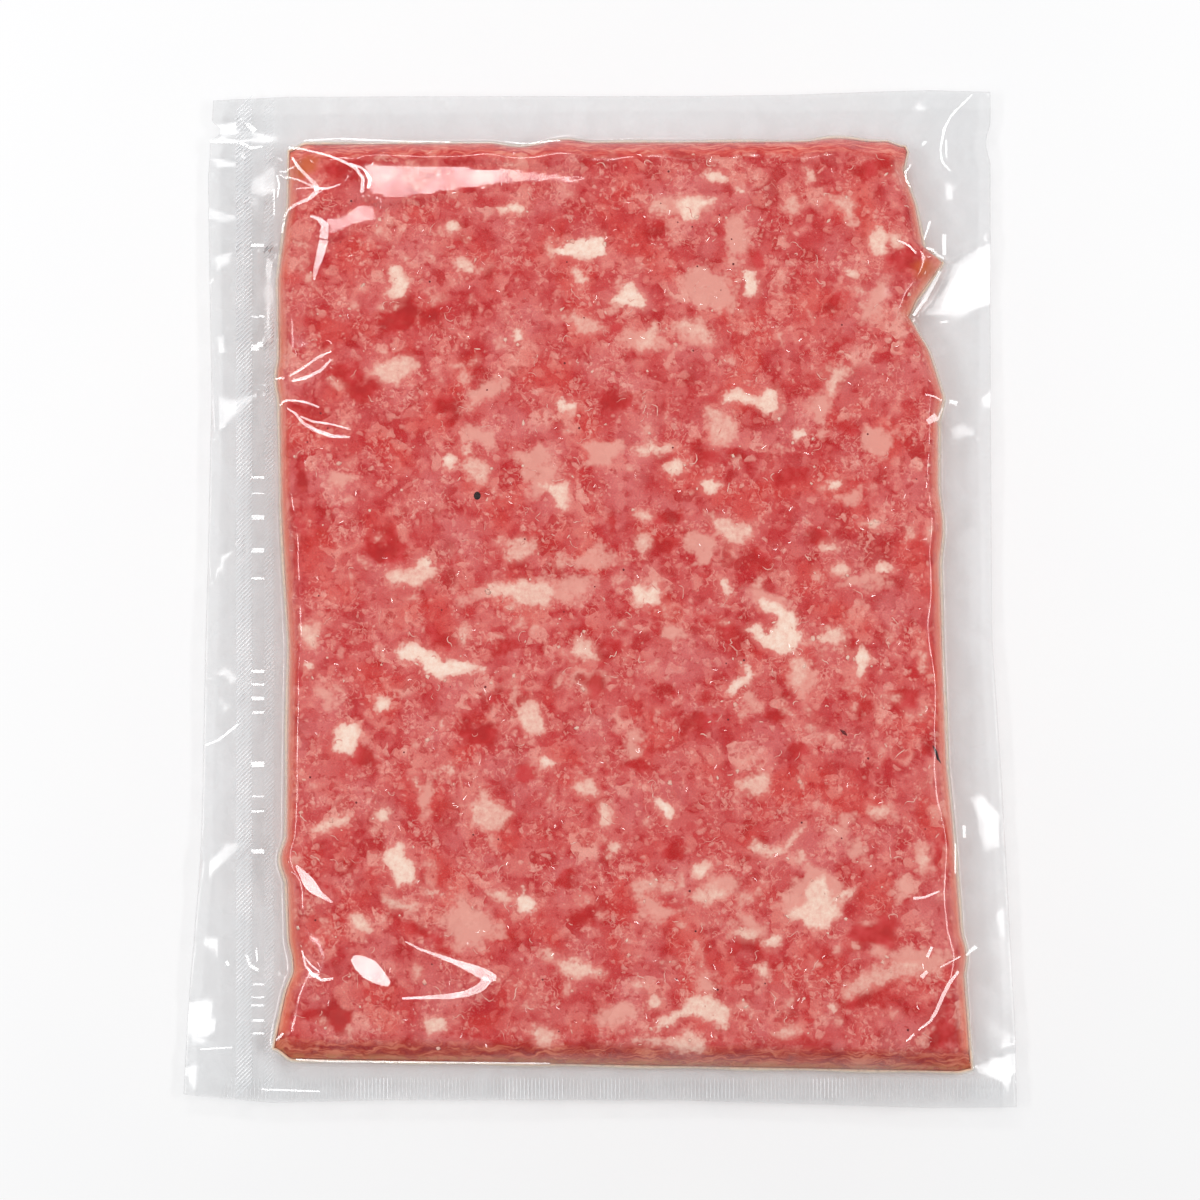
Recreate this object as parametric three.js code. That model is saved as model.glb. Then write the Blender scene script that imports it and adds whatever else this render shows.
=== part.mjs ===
// Vacuum pack of minced turkey: a flat block of raw mince, drawn tight into a clear film pouch whose
// sealed edges stand out all round as a thin rim.
// Millimetres, +Z up. The pack lies on its flat side at z = 0 with its shown side up, +Y towards its
// top end and +X to its right, and the origin is under the middle of the pouch.

import * as THREE from "three";
import { mergeVertices } from "three/addons/utils/BufferGeometryUtils.js";

// ---- Heights ----

const BLOCK_HEIGHT = 13.4;        // top of the block of mince, over its flat underside
const CROWN_FALL = 0.9;           // how much lower the block is by its corners than in its middle
const SEAM_HEIGHT = 4.8;          // where the two films meet and leave the block
const RIM_THICKNESS = 0.5;        // both films of the rim together
const RIM_DROOP = 1.0;            // how far the rim hangs below the seam at the pouch's edge
const UNDERSIDE_INSET = 4.5;      // how far the flat underside stops short of the block's outline
const UNDERSIDE_ROUND = 1.1;      // inset of the ring half way up the rounded lower edge

// ---- Outlines ----
// A side is a line through a few knots, [place along the side, distance out from the origin], and a
// few bends, where the film has drawn it in or mince stands out. Places run along +X on the top and
// bottom sides, and along +Y on the left and right sides.

const POUCH = {
  left: {
    knots: [[-126, 101.8], [-108, 101.3], [-68, 98.7], [50, 98.3], [105, 100.3], [126, 99.3]],
    bends: [{ at: 117.6, out: -2.4, reach: 3.2 }],
  },
  right: {
    knots: [[-129, 101.6], [-108, 101.7], [-55, 99.9], [-14, 98.0], [40, 98.6], [128, 100.2]],
    bends: [{ at: 114.5, out: -1.1, reach: 6 }],
  },
  top: {
    knots: [[-99, 125.9], [-80, 126.8], [46, 127.3], [85, 128.5], [100, 128.1]],
    bends: [],
  },
  bottom: {
    knots: [[-102, 125.5], [-80, 127.5], [-55, 126.9], [18, 126.9], [80, 128.8], [101, 128.6]],
    bends: [],
  },
};

const BLOCK = {
  left: {
    knots: [[-117, 80.6], [-96, 76.4], [-66, 77.8], [-15, 77.9], [20, 80.4], [78, 82.1], [98, 79.8]],
    bends: [
      { at: -94.5, out: -0.9, reach: 7 },
      { at: -68.6, out: 1.4, reach: 6 },
      { at: 52.6, out: 0.7, reach: 6 },
    ],
  },
  right: {
    knots: [
      [-119, 90.8], [-60, 87.4], [-45, 86.1], [4, 85.2], [42, 85.5], [47.5, 86.9], [54.7, 85.0], [59.6, 83.5],
      [68.7, 78.6], [73.1, 80.5], [82.7, 87.3], [86.7, 82.5], [97.9, 80.6], [106.9, 77.7], [111.9, 78.8],
      [115, 77.5],
    ],
    bends: [
      { at: -91.5, out: 0.9, reach: 6 },
      { at: 14.7, out: 0.9, reach: 10 },
    ],
  },
  top: {
    knots: [[-80, 114.2], [78, 115.0]],
    bends: [
      { at: -80, out: -1.8, reach: 5 },
      { at: -20.7, out: -1.0, reach: 8 },
      { at: -8.7, out: 0.9, reach: 7 },
      { at: 60.7, out: 0.9, reach: 9 },
      { at: 78, out: -1.4, reach: 5 },
    ],
  },
  bottom: {
    knots: [[-80, 117.2], [91, 120.3]],
    bends: [
      { at: -80, out: -2.6, reach: 8 },
      { at: 91, out: -0.7, reach: 4 },
    ],
  },
};

// ---- Form of the block's top ----

// Width of each rounded edge, and how full its curve is: 1 is a flat bevel, 2 a quarter ellipse.
const SHOULDER = {
  left: { width: 4.0, fullness: 2 },
  right: { width: 4.0, fullness: 2 },
  top: { width: 6.8, fullness: 1.5 },
  bottom: { width: 6.2, fullness: 1.5 },
};

// Corners where the film has pressed the mince thin: past a fold line the top slopes to the corner.
// `middle` is a point on the fold, `towards` the direction that it faces, and `fall` the drop at `run`.
const PRESSED_CORNERS = [
  { middle: [-57, -78.5], towards: [-0.447, -0.894], run: 42, fall: 4.6, crease: 1.0, creaseHalf: 4 },
  { middle: [80.5, -103], towards: [0.79, -0.61], run: 18, fall: 4.0, crease: -0.6, creaseHalf: 4 },
  { middle: [-68, 103], towards: [-0.62, 0.78], run: 16, fall: 3.8, crease: 0.9, creaseHalf: 4 },
  { middle: [69, 106], towards: [0.66, 0.75], run: 13, fall: 2.4, crease: 0, creaseHalf: 4 },
];

// Hollows where the film pulls the top down, and swells where it doesn't.
const HOLLOWS = [
  { at: [80, 69], reach: 15, depth: 3.4 },
  { at: [-80, 57], reach: 11, depth: 1.4 },
  { at: [-78, -92], reach: 12, depth: 1.6 },
  { at: [87, 82.5], reach: 8, depth: 2.6 },
  { at: [-30, -97], reach: 12, depth: -0.5 },
];

// Lumps of the mince: the reach of each, and its greatest height or depth as a part of that reach. They
// are strewn over LUMPED_WIDTH and LUMPED_LENGTH.
const LUMPED_WIDTH = 180;
const LUMPED_LENGTH = 240;
const LUMPS = { seed: 4127, count: 420, smallest: 3.2, largest: 9, steepness: 0.055 };

// ---- Form of the rim ----

// Slow waves of the rim: length, direction in degrees, phase in turns, and height at the pouch's edge.
const RIM_WAVES = [
  { length: 71, direction: 62, phase: 0.15, height: 0.3 },
  { length: 47, direction: 118, phase: 0.62, height: 0.15 },
  { length: 29, direction: 20, phase: 0.37, height: 0.08 },
];

// Folds across the rim: from and to are the ends of the ridge line.
const RIM_FOLDS = [
  { from: [86, 82], to: [100, 76], half: 7, height: 1.6 },
  { from: [84, 122], to: [87, 104], half: 4.5, height: 1.3 },
  { from: [-100, 115.5], to: [-84, 113], half: 4, height: 1.2 },
  { from: [-101, -71], to: [-84, -60], half: 6, height: 1.2 },
  { from: [-103, -112], to: [-84, -108], half: 6, height: -0.9 },
  { from: [92, -112], to: [102, -118], half: 6, height: 1.1 },
];

// ---- Grid ----

const RIM_STEPS = 3;                             // cells across the rim on each side
const SHOULDER_STOPS = [0, 0.11, 0.35, 1];       // grid lines over a rounded edge, as parts of its width
const TOP_STEP = 3.7;                            // widest cell of the block's top
const BLOCK_WIDTH = 165;                         // of the block where the cells are counted
const BLOCK_LENGTH = 232;
const SETTLING_ROUNDS = 12;                      // to find where a bent column and a bent row cross

// ---- Outline functions ----

/** Value at `place` of the line through `knots`, held level past its ends. */
function alongKnots(knots, place) {
  if (place <= knots[0][0]) {
    return knots[0][1];
  }
  for (let k = 1; k < knots.length; k += 1) {
    const [start, from] = knots[k - 1];
    const [end, to] = knots[k];
    if (place <= end) {
      return from + ((to - from) * (place - start)) / (end - start);
    }
  }
  return knots[knots.length - 1][1];
}

/** A hump of height 1 in the middle that dies away smoothly at t = 1. */
function hump(t) {
  return Math.abs(t) < 1 ? (1 - t * t) ** 2 : 0;
}

/** How far out a side stands at `place` along it. */
function sideAt(side, place) {
  let out = alongKnots(side.knots, place);
  for (const bend of side.bends) {
    out += bend.out * hump((place - bend.at) / bend.reach);
  }
  return out;
}

/** Where an outline's left and right sides lie at height y, and its bottom and top sides at x. */
function outlineAt(outline, x, y) {
  return {
    left: -sideAt(outline.left, y),
    right: sideAt(outline.right, y),
    bottom: -sideAt(outline.bottom, x),
    top: sideAt(outline.top, x),
  };
}

// ---- Height functions ----

/** Rounded edge: 0 at the outline, and 1 from the shoulder's width inwards. */
function roundedEdge(inside, shoulder) {
  const t = THREE.MathUtils.clamp(inside / shoulder.width, 0, 1);
  return (1 - (1 - t) ** shoulder.fullness) ** (1 / shoulder.fullness);
}

/** A repeatable stream of numbers from 0 to 1. */
function seededNumbers(seed) {
  let state = seed;
  return () => {
    state = (state * 16807) % 2147483647;
    return state / 2147483647;
  };
}

/** Soft lumps of mince under the film: place, reach and height of each. */
function scatterLumps() {
  const next = seededNumbers(LUMPS.seed);
  const lumps = [];
  for (let k = 0; k < LUMPS.count; k += 1) {
    const x = (next() - 0.5) * LUMPED_WIDTH;
    const y = (next() - 0.5) * LUMPED_LENGTH;
    const reach = LUMPS.smallest + (LUMPS.largest - LUMPS.smallest) * next();
    lumps.push({ x, y, reach, height: LUMPS.steepness * reach * (next() * 2 - 1) });
  }
  return lumps;
}

const lumps = scatterLumps();

/** Relief of the mince at (x, y). */
function minceRelief(x, y) {
  let relief = 0;
  for (const lump of lumps) {
    relief += lump.height * hump(Math.hypot(x - lump.x, y - lump.y) / lump.reach);
  }
  return relief;
}

/** How far the pressed corners and the hollows bring the top down at (x, y). */
function pressedDepth(x, y) {
  let depth = 0;
  for (const corner of PRESSED_CORNERS) {
    const past = (x - corner.middle[0]) * corner.towards[0] + (y - corner.middle[1]) * corner.towards[1];
    depth += (corner.fall * Math.max(past, 0)) / corner.run;
    const along = (x - corner.middle[0]) * corner.towards[1] - (y - corner.middle[1]) * corner.towards[0];
    depth += corner.crease * hump(past / corner.creaseHalf) * hump(along / corner.run);
  }
  for (const hollow of HOLLOWS) {
    depth += hollow.depth * hump(Math.hypot(x - hollow.at[0], y - hollow.at[1]) / hollow.reach);
  }
  return depth;
}

/** How far the top of the block stands over the seam at (x, y). */
function blockRise(x, y, block) {
  const crown = CROWN_FALL * 0.5 * ((x / 82) ** 2 + (y / 116) ** 2);
  const full = BLOCK_HEIGHT - SEAM_HEIGHT - crown - pressedDepth(x, y) + minceRelief(x, y);
  const edge =
    roundedEdge(x - block.left, SHOULDER.left) *
    roundedEdge(block.right - x, SHOULDER.right) *
    roundedEdge(y - block.bottom, SHOULDER.bottom) *
    roundedEdge(block.top - y, SHOULDER.top);
  return full * edge;
}

/** Height of a fold's ridge at (x, y). */
function foldHeight(fold, x, y) {
  const dx = fold.to[0] - fold.from[0];
  const dy = fold.to[1] - fold.from[1];
  const t = ((x - fold.from[0]) * dx + (y - fold.from[1]) * dy) / (dx * dx + dy * dy);
  const near = THREE.MathUtils.clamp(t, 0, 1);
  const away = Math.hypot(x - fold.from[0] - dx * near, y - fold.from[1] - dy * near);
  return fold.height * hump(away / fold.half);
}

/** How far out on the rim a point is: 0 at the block's outline, 1 at the pouch's edge. */
function rimReach(x, y, block, pouch) {
  const reaches = [
    (block.left - x) / (block.left - pouch.left),
    (x - block.right) / (pouch.right - block.right),
    (block.bottom - y) / (block.bottom - pouch.bottom),
    (y - block.top) / (pouch.top - block.top),
  ];
  return THREE.MathUtils.clamp(Math.max(...reaches), 0, 1);
}

/** Middle height of the rim's film at (x, y). */
function rimHeight(x, y, block, pouch) {
  const reach = rimReach(x, y, block, pouch);
  let height = SEAM_HEIGHT - RIM_DROOP * reach;
  for (const wave of RIM_WAVES) {
    const turn = THREE.MathUtils.degToRad(wave.direction);
    const place = (x * Math.cos(turn) + y * Math.sin(turn)) / wave.length;
    height += reach * wave.height * Math.sin(2 * Math.PI * (place + wave.phase));
  }
  for (const fold of RIM_FOLDS) {
    height += Math.sqrt(reach) * foldHeight(fold, x, y);
  }
  return height;
}

// ---- Grid of the pouch ----

/** Grid lines across the pouch as [zone, part]: zone 0 and 2 are the rim, zone 1 is the block. */
function gridLines(blockWidth, lowShoulder, highShoulder) {
  const lines = [];
  for (let k = 0; k < RIM_STEPS; k += 1) {
    lines.push([0, k / RIM_STEPS]);
  }
  for (const stop of SHOULDER_STOPS) {
    lines.push([1, (stop * lowShoulder) / blockWidth]);
  }
  const flat = blockWidth - lowShoulder - highShoulder;
  const steps = Math.ceil(flat / TOP_STEP);
  for (let k = 1; k < steps; k += 1) {
    lines.push([1, (lowShoulder + (flat * k) / steps) / blockWidth]);
  }
  for (const stop of [...SHOULDER_STOPS].reverse()) {
    lines.push([1, 1 - (stop * highShoulder) / blockWidth]);
  }
  for (let k = 1; k <= RIM_STEPS; k += 1) {
    lines.push([2, k / RIM_STEPS]);
  }
  return lines;
}

/** Place of a grid line between the pouch's and the block's sides. */
function linePlace([zone, part], pouchLow, blockLow, blockHigh, pouchHigh) {
  const ends = [[pouchLow, blockLow], [blockLow, blockHigh], [blockHigh, pouchHigh]][zone];
  return ends[0] + (ends[1] - ends[0]) * part;
}

/** Where column `column` and row `row` cross: each depends on the other, so a few rounds settle it. */
function crossing(column, row) {
  let x = 0;
  let y = 0;
  for (let round = 0; round < SETTLING_ROUNDS; round += 1) {
    const block = outlineAt(BLOCK, x, y);
    const pouch = outlineAt(POUCH, x, y);
    x = linePlace(column, pouch.left, block.left, block.right, pouch.right);
    y = linePlace(row, pouch.bottom, block.bottom, block.top, pouch.top);
  }
  return { x, y, block: outlineAt(BLOCK, x, y), pouch: outlineAt(POUCH, x, y) };
}

const columns = gridLines(BLOCK_WIDTH, SHOULDER.left.width, SHOULDER.right.width);
const rows = gridLines(BLOCK_LENGTH, SHOULDER.bottom.width, SHOULDER.top.width);
const grid = columns.map((column) => rows.map((row) => crossing(column, row)));
const lastColumn = columns.length - 1;
const lastRow = rows.length - 1;

/** The upper film's point over a crossing. */
function upperPoint(point) {
  const rim = rimHeight(point.x, point.y, point.block, point.pouch) + RIM_THICKNESS / 2;
  return new THREE.Vector3(point.x, point.y, rim + blockRise(point.x, point.y, point.block));
}

/** The lower film's point under a crossing of the rim. */
function lowerPoint(point) {
  const rim = rimHeight(point.x, point.y, point.block, point.pouch) - RIM_THICKNESS / 2;
  return new THREE.Vector3(point.x, point.y, rim);
}

const upper = grid.map((line) => line.map(upperPoint));
const lower = grid.map((line) => line.map(lowerPoint));

// ---- Faces ----

const corners = [];

/** Adds the quad a, b, c, d, seen anticlockwise from outside, as two triangles. */
function addQuad(a, b, c, d) {
  corners.push(a, b, c, a, c, d);
}

/** Adds the upper film over the whole pouch. */
function addUpperFilm() {
  for (let i = 0; i < lastColumn; i += 1) {
    for (let j = 0; j < lastRow; j += 1) {
      addQuad(upper[i][j], upper[i + 1][j], upper[i + 1][j + 1], upper[i][j + 1]);
    }
  }
}

/** Whether cell (i, j) of the grid lies under the block, within the rim. */
function isUnderBlock(i, j) {
  const inColumns = i >= RIM_STEPS && i < lastColumn - RIM_STEPS;
  const inRows = j >= RIM_STEPS && j < lastRow - RIM_STEPS;
  return inColumns && inRows;
}

/** Adds the lower film under the rim, which leaves the block's own underside open. */
function addLowerRim() {
  for (let i = 0; i < lastColumn; i += 1) {
    for (let j = 0; j < lastRow; j += 1) {
      if (!isUnderBlock(i, j)) {
        addQuad(lower[i][j], lower[i][j + 1], lower[i + 1][j + 1], lower[i + 1][j]);
      }
    }
  }
}

/** Indexes [i, j] round the rectangle of grid lines that stands `inset` lines in, anticlockwise. */
function loopIndexes(inset) {
  const loop = [];
  for (let i = inset; i < lastColumn - inset; i += 1) {
    loop.push([i, inset]);
  }
  for (let j = inset; j < lastRow - inset; j += 1) {
    loop.push([lastColumn - inset, j]);
  }
  for (let i = lastColumn - inset; i > inset; i -= 1) {
    loop.push([i, lastRow - inset]);
  }
  for (let j = lastRow - inset; j > inset; j -= 1) {
    loop.push([inset, j]);
  }
  return loop;
}

/** Adds the cut edge of the two films round the pouch. */
function addPouchEdge() {
  const loop = loopIndexes(0);
  loop.forEach(([i, j], k) => {
    const [nextI, nextJ] = loop[(k + 1) % loop.length];
    addQuad(lower[i][j], lower[nextI][nextJ], upper[nextI][nextJ], upper[i][j]);
  });
}

/** A point of the block's lower edge: the outline's point moved inwards, at its own height. */
function undersidePoint([i, j], inset, height) {
  const { x, y, block } = grid[i][j];
  return new THREE.Vector3(
    THREE.MathUtils.clamp(x, block.left + inset, block.right - inset),
    THREE.MathUtils.clamp(y, block.bottom + inset, block.top - inset),
    height,
  );
}

/** Adds the block's rounded lower edge and its flat underside. */
function addUnderside() {
  const loop = loopIndexes(RIM_STEPS);
  const seam = loop.map(([i, j]) => lower[i][j]);
  const round = loop.map((index) => undersidePoint(index, UNDERSIDE_ROUND, SEAM_HEIGHT * 0.3));
  const flat = loop.map((index) => undersidePoint(index, UNDERSIDE_INSET, 0));
  for (let k = 0; k < loop.length; k += 1) {
    const next = (k + 1) % loop.length;
    addQuad(round[k], round[next], seam[next], seam[k]);
    addQuad(flat[k], flat[next], round[next], round[k]);
  }
  const outline = flat.map((point) => new THREE.Vector2(point.x, point.y));
  for (const [a, b, c] of THREE.ShapeUtils.triangulateShape(outline, [])) {
    corners.push(flat[a], flat[c], flat[b]);
  }
}

/** The whole pack as one closed solid, centred over the origin. */
function packGeometry() {
  addUpperFilm();
  addLowerRim();
  addPouchEdge();
  addUnderside();
  const geometry = new THREE.BufferGeometry().setFromPoints(corners);
  geometry.computeBoundingBox();
  const middle = geometry.boundingBox.getCenter(new THREE.Vector3());
  geometry.translate(-middle.x, -middle.y, 0);
  return mergeVertices(geometry, 1e-4);
}

const pack = new THREE.Mesh(
  packGeometry(),
  new THREE.MeshStandardMaterial({ color: "#d2615d", roughness: 0.25, metalness: 0 }),
);
pack.name = "vacuum_pack";

const model = new THREE.Group();
model.add(pack);

export default model;
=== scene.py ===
import math

import bmesh
import bpy
import numpy as np
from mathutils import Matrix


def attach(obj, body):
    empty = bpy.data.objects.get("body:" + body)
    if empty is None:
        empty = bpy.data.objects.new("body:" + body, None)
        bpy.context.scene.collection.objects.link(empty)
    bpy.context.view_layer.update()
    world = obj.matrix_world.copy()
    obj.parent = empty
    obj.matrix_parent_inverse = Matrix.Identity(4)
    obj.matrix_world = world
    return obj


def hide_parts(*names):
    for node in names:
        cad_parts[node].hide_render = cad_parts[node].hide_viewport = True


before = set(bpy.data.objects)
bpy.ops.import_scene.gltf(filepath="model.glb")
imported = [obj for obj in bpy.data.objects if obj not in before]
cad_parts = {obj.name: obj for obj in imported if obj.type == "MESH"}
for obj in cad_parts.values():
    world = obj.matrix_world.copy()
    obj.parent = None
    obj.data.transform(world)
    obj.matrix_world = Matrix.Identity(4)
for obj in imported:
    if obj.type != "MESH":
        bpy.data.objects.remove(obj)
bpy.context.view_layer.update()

# ---- The view ----
# The pack is seen almost straight down, from a little towards its bottom end. Sizes in this file are
# millimetres, and places read off the photo are its own pixels.

MM = 0.001
VIEW_DISTANCE = 700
VIEW_RISE = math.radians(82)
VIEW_TARGET = np.array([0.0, -3.55, 4.8])
PHOTO_MIDDLE = 600
PIXELS_PER_SLOPE = 2800
PIXEL = VIEW_DISTANCE / PIXELS_PER_SLOPE
SENSOR_WIDTH = 36

view_forward = np.array([0, math.cos(VIEW_RISE), -math.sin(VIEW_RISE)])
view_up = np.array([0, math.sin(VIEW_RISE), math.cos(VIEW_RISE)])
view_place = VIEW_TARGET - VIEW_DISTANCE * view_forward

camera = bpy.data.cameras.new("camera")
camera.sensor_width = SENSOR_WIDTH
camera.lens = SENSOR_WIDTH * PIXELS_PER_SLOPE / (2 * PHOTO_MIDDLE)
camera_holder = bpy.data.objects.new("camera", camera)
camera_holder.location = view_place * MM
camera_holder.rotation_euler = (math.pi / 2 - VIEW_RISE, 0, 0)
bpy.context.collection.objects.link(camera_holder)
bpy.context.scene.camera = camera_holder
bpy.context.scene.view_settings.view_transform = "Standard"


def seen_at(pixel_x, pixel_y, height):
    """The place in the pack that shows at a pixel of the photo, at a height."""
    across = (np.asarray(pixel_x, float) - PHOTO_MIDDLE) / PIXELS_PER_SLOPE
    upward = (PHOTO_MIDDLE - np.asarray(pixel_y, float)) / PIXELS_PER_SLOPE
    reach = (height - view_place[2]) / (view_forward[2] + upward * view_up[2])
    return view_place[0] + reach * across, view_place[1] + reach * (view_forward[1] + upward * view_up[1])


# ---- Studio light ----
# Three level softboxes hang round the pack, just outside what its level film mirrors to the camera,
# so that only film that leans towards one of them shines.

SOFTBOX_HEIGHT = 690
SOFTBOXES = [(-150, 715, 340, 150), (-530, -110, 140, 400), (550, 0, 140, 400)]   # x, y, width, length
SOFTBOX_GLOW = 15.0
ROOM_GLOW = 0.46

for number, (box_x, box_y, box_width, box_length) in enumerate(SOFTBOXES):
    lamp = bpy.data.lights.new(f"softbox_{number}", "AREA")
    lamp.shape = "RECTANGLE"
    lamp.size = box_width * MM
    lamp.size_y = box_length * MM
    lamp.energy = SOFTBOX_GLOW * math.pi * lamp.size * lamp.size_y
    softbox = bpy.data.objects.new(lamp.name, lamp)
    softbox.location = (box_x * MM, box_y * MM, SOFTBOX_HEIGHT * MM)
    softbox.visible_camera = False
    bpy.context.collection.objects.link(softbox)

room = bpy.data.worlds.new("room")
room.use_nodes = True
room.node_tree.nodes["Background"].inputs["Color"].default_value = (1, 1, 1, 1)
room.node_tree.nodes["Background"].inputs["Strength"].default_value = ROOM_GLOW
bpy.context.scene.world = room


# ---- Floor ----
# A matt white board under the pack, larger than any view of it. It belongs to the picture, and isn't
# part of the object.

FLOOR_SIZE = 6000
FLOOR_TONES = ((250, 250, 251), (252, 252, 252))
FLOOR_CLOUD = 40                         # size of the board's faint clouds
FLOOR_TOOTH = 0.6                        # size of its grain
TOOTH_BUMP = (0.1, 0.0001)               # strength and height
FLOOR_ROUGHNESS = 0.9


def node(tree, kind, inputs=None, **settings):
    """Adds a shader node, with its settings and with a value or a link for each named input."""
    made = tree.nodes.new("ShaderNode" + kind)
    for name, value in settings.items():
        setattr(made, name, value)
    for name, value in (inputs or {}).items():
        if isinstance(value, bpy.types.NodeSocket):
            tree.links.new(value, made.inputs[name])
        else:
            made.inputs[name].default_value = value
    return made


def new_material(name):
    """A material with an empty tree."""
    material = bpy.data.materials.new(name)
    material.use_nodes = True
    material.node_tree.nodes.clear()
    return material


def surface(tree, shader):
    """Ends a material's tree with its shader."""
    node(tree, "OutputMaterial", {"Surface": shader})


def millimetres(tree):
    """The place on the object, in millimetres."""
    place = node(tree, "TexCoord").outputs["Object"]
    return node(tree, "VectorMath", {0: place, 3: 1 / MM}, operation="SCALE").outputs["Vector"]


def noise(tree, place, size, detail=2.0, rough=0.5, part="Fac"):
    """Soft noise whose lumps are a size in millimetres."""
    made = node(tree, "TexNoise", {"Vector": place, "Scale": 1 / size, "Detail": detail, "Roughness": rough})
    return made.outputs[part]


def maths(tree, operation, a, b=0.0):
    """One sum of two values."""
    return node(tree, "Math", {0: a, 1: b}, operation=operation).outputs[0]


def ease(tree, value, low, high, to_low=0.0, to_high=1.0):
    """Smooth step from one value to another, as a value goes from low to high."""
    made = node(tree, "MapRange", {"Value": value, "From Min": low, "From Max": high,
                                   "To Min": to_low, "To Max": to_high}, interpolation_type="SMOOTHSTEP")
    return made.outputs["Result"]


def blend(tree, factor, a, b):
    """Mixes two colours."""
    return node(tree, "Mix", {0: factor, 6: a, 7: b}, data_type="RGBA").outputs[2]


def painted(tree, tint, rough, shine, **more):
    """The shader of a coloured surface: how rough it is and how much it shines."""
    inputs = {"Base Color": tint, "Roughness": rough, "Specular IOR Level": shine}
    return node(tree, "BsdfPrincipled", {**inputs, **more}).outputs[0]


def bump(tree, height, strength, rise):
    """Small relief: how strong it is, and how high in metres."""
    return node(tree, "Bump", {"Height": height, "Strength": strength, "Distance": rise}).outputs[0]


def colour(red, green, blue):
    """A colour as the photo's own 0 to 255 values give it."""
    parts = [c / 255 for c in (red, green, blue)]
    return tuple(p / 12.92 if p <= 0.04045 else ((p + 0.055) / 1.055) ** 2.4 for p in parts) + (1.0,)


def floor_material():
    """Matt white board with a faint tooth."""
    material = new_material("floor")
    tree = material.node_tree
    place = millimetres(tree)
    tint = blend(tree, noise(tree, place, FLOOR_CLOUD), *[colour(*tone) for tone in FLOOR_TONES])
    tooth = bump(tree, noise(tree, place, FLOOR_TOOTH), *TOOTH_BUMP)
    surface(tree, painted(tree, tint, FLOOR_ROUGHNESS, 0.0, Normal=tooth))
    return material


floor_mesh = bpy.data.meshes.new("floor")
half_floor = FLOOR_SIZE / 2 * MM
floor_corners = [(x * half_floor, y * half_floor, 0) for x, y in ((-1, -1), (1, -1), (1, 1), (-1, 1))]
floor_mesh.from_pydata(floor_corners, [], [(0, 1, 2, 3)])
floor_mesh.materials.append(floor_material())
floor = bpy.data.objects.new("floor", floor_mesh)
bpy.context.collection.objects.link(floor)


# ---- The pouch ----
# Two sheets of clear film, sealed along all four sides and drawn tight on the block by vacuum. They
# stand out round it as a thin rim that waves and folds, and the air's pull leaves pleats and creases.

BLOCK_HEIGHT = 13.4
CROWN_FALL = 0.9
CROWN_REACH = (82, 116)                  # where the top has come down by half of that
SEAM_HEIGHT = 4.8
RIM_THICKNESS = 0.3
RIM_DROOP = 1.0
UNDERSIDE_INSET = 4.5
BRIDGE_WIDTH = 0.9                       # where the film leaves the rim for the block
BRIDGE_HEIGHT = 0.15
BRIDGE_SWAY = 0.45                       # how much that height comes and goes
BRIDGE_RIPPLE = (9, 53)                  # size and seed of its coming and going
PLEAT_EASE = 0.7                         # how far inside its edge a facet is quite flat
PLEAT_EASE_SHARE = 0.4                   # most that this takes of a small facet's area over its girth
PLEAT_SPREAD = 0.7                       # how far outside its corners a facet begins
# The film clings to the mince's small lumps: width and height of each ripple, and its seed.
CLING = [(3.1, 0.09, 51), (1.9, 0.05, 52)]
CLING_RISE = 3                           # height over the rim from which it clings in full
SIDES = ("left", "right", "bottom", "top")

# Each side is a line through knots, (place along it, distance out), with bends (place, out, reach).
POUCH = {
    "left": ([(-126, 101.8), (-108, 101.3), (-68, 98.7), (50, 98.3), (105, 100.3), (126, 99.3)],
             [(117.6, -2.4, 3.2)]),
    "right": ([(-129, 101.6), (-108, 101.7), (-55, 99.9), (-14, 98.0), (40, 98.6), (128, 100.2)],
              [(114.5, -1.1, 6)]),
    "top": ([(-99, 125.9), (-80, 126.8), (46, 127.3), (85, 128.5), (100, 128.1)], []),
    "bottom": ([(-102, 125.5), (-80, 127.5), (-55, 126.9), (18, 126.9), (80, 128.8), (101, 128.6)], []),
}
BLOCK = {
    "left": ([(-117, 80.6), (-96, 76.4), (-66, 77.8), (-15, 77.9), (20, 80.4), (78, 82.1), (98, 79.8)],
             [(-94.5, -0.9, 7), (-68.6, 1.4, 6), (52.6, 0.7, 6)]),
    "right": ([(-119, 90.8), (-60, 87.4), (-45, 86.1), (4, 85.2), (42, 85.5), (47.5, 86.9), (54.7, 85.0),
               (59.6, 83.5), (68.7, 78.6), (73.1, 80.5), (82.7, 87.3), (86.7, 82.5), (97.9, 80.6),
               (106.9, 77.7), (111.9, 78.8), (115, 77.5)],
              [(-91.5, 0.9, 6), (14.7, 0.9, 10)]),
    "top": ([(-80, 114.2), (78, 115.0)],
            [(-80, -1.8, 5), (-20.7, -1.0, 8), (-8.7, 0.9, 7), (60.7, 0.9, 9), (78, -1.4, 5)]),
    "bottom": ([(-80, 117.2), (91, 120.3)], [(-80, -2.6, 5), (91, -0.7, 4)]),
}
# Width of each rounded edge, and how full its curve is: 1 is a flat bevel, 2 a quarter ellipse.
SHOULDER = {"left": (4.0, 1.6), "right": (4.0, 1.6), "top": (6.8, 1.5), "bottom": (6.2, 1.5)}
UNDER_SHOULDER = {side: (UNDERSIDE_INSET, 2) for side in SIDES}
SHOULDER_SWAY = 0.28                     # how much those widths come and go along a side
SHOULDER_RIPPLE = (13, 55)

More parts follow.
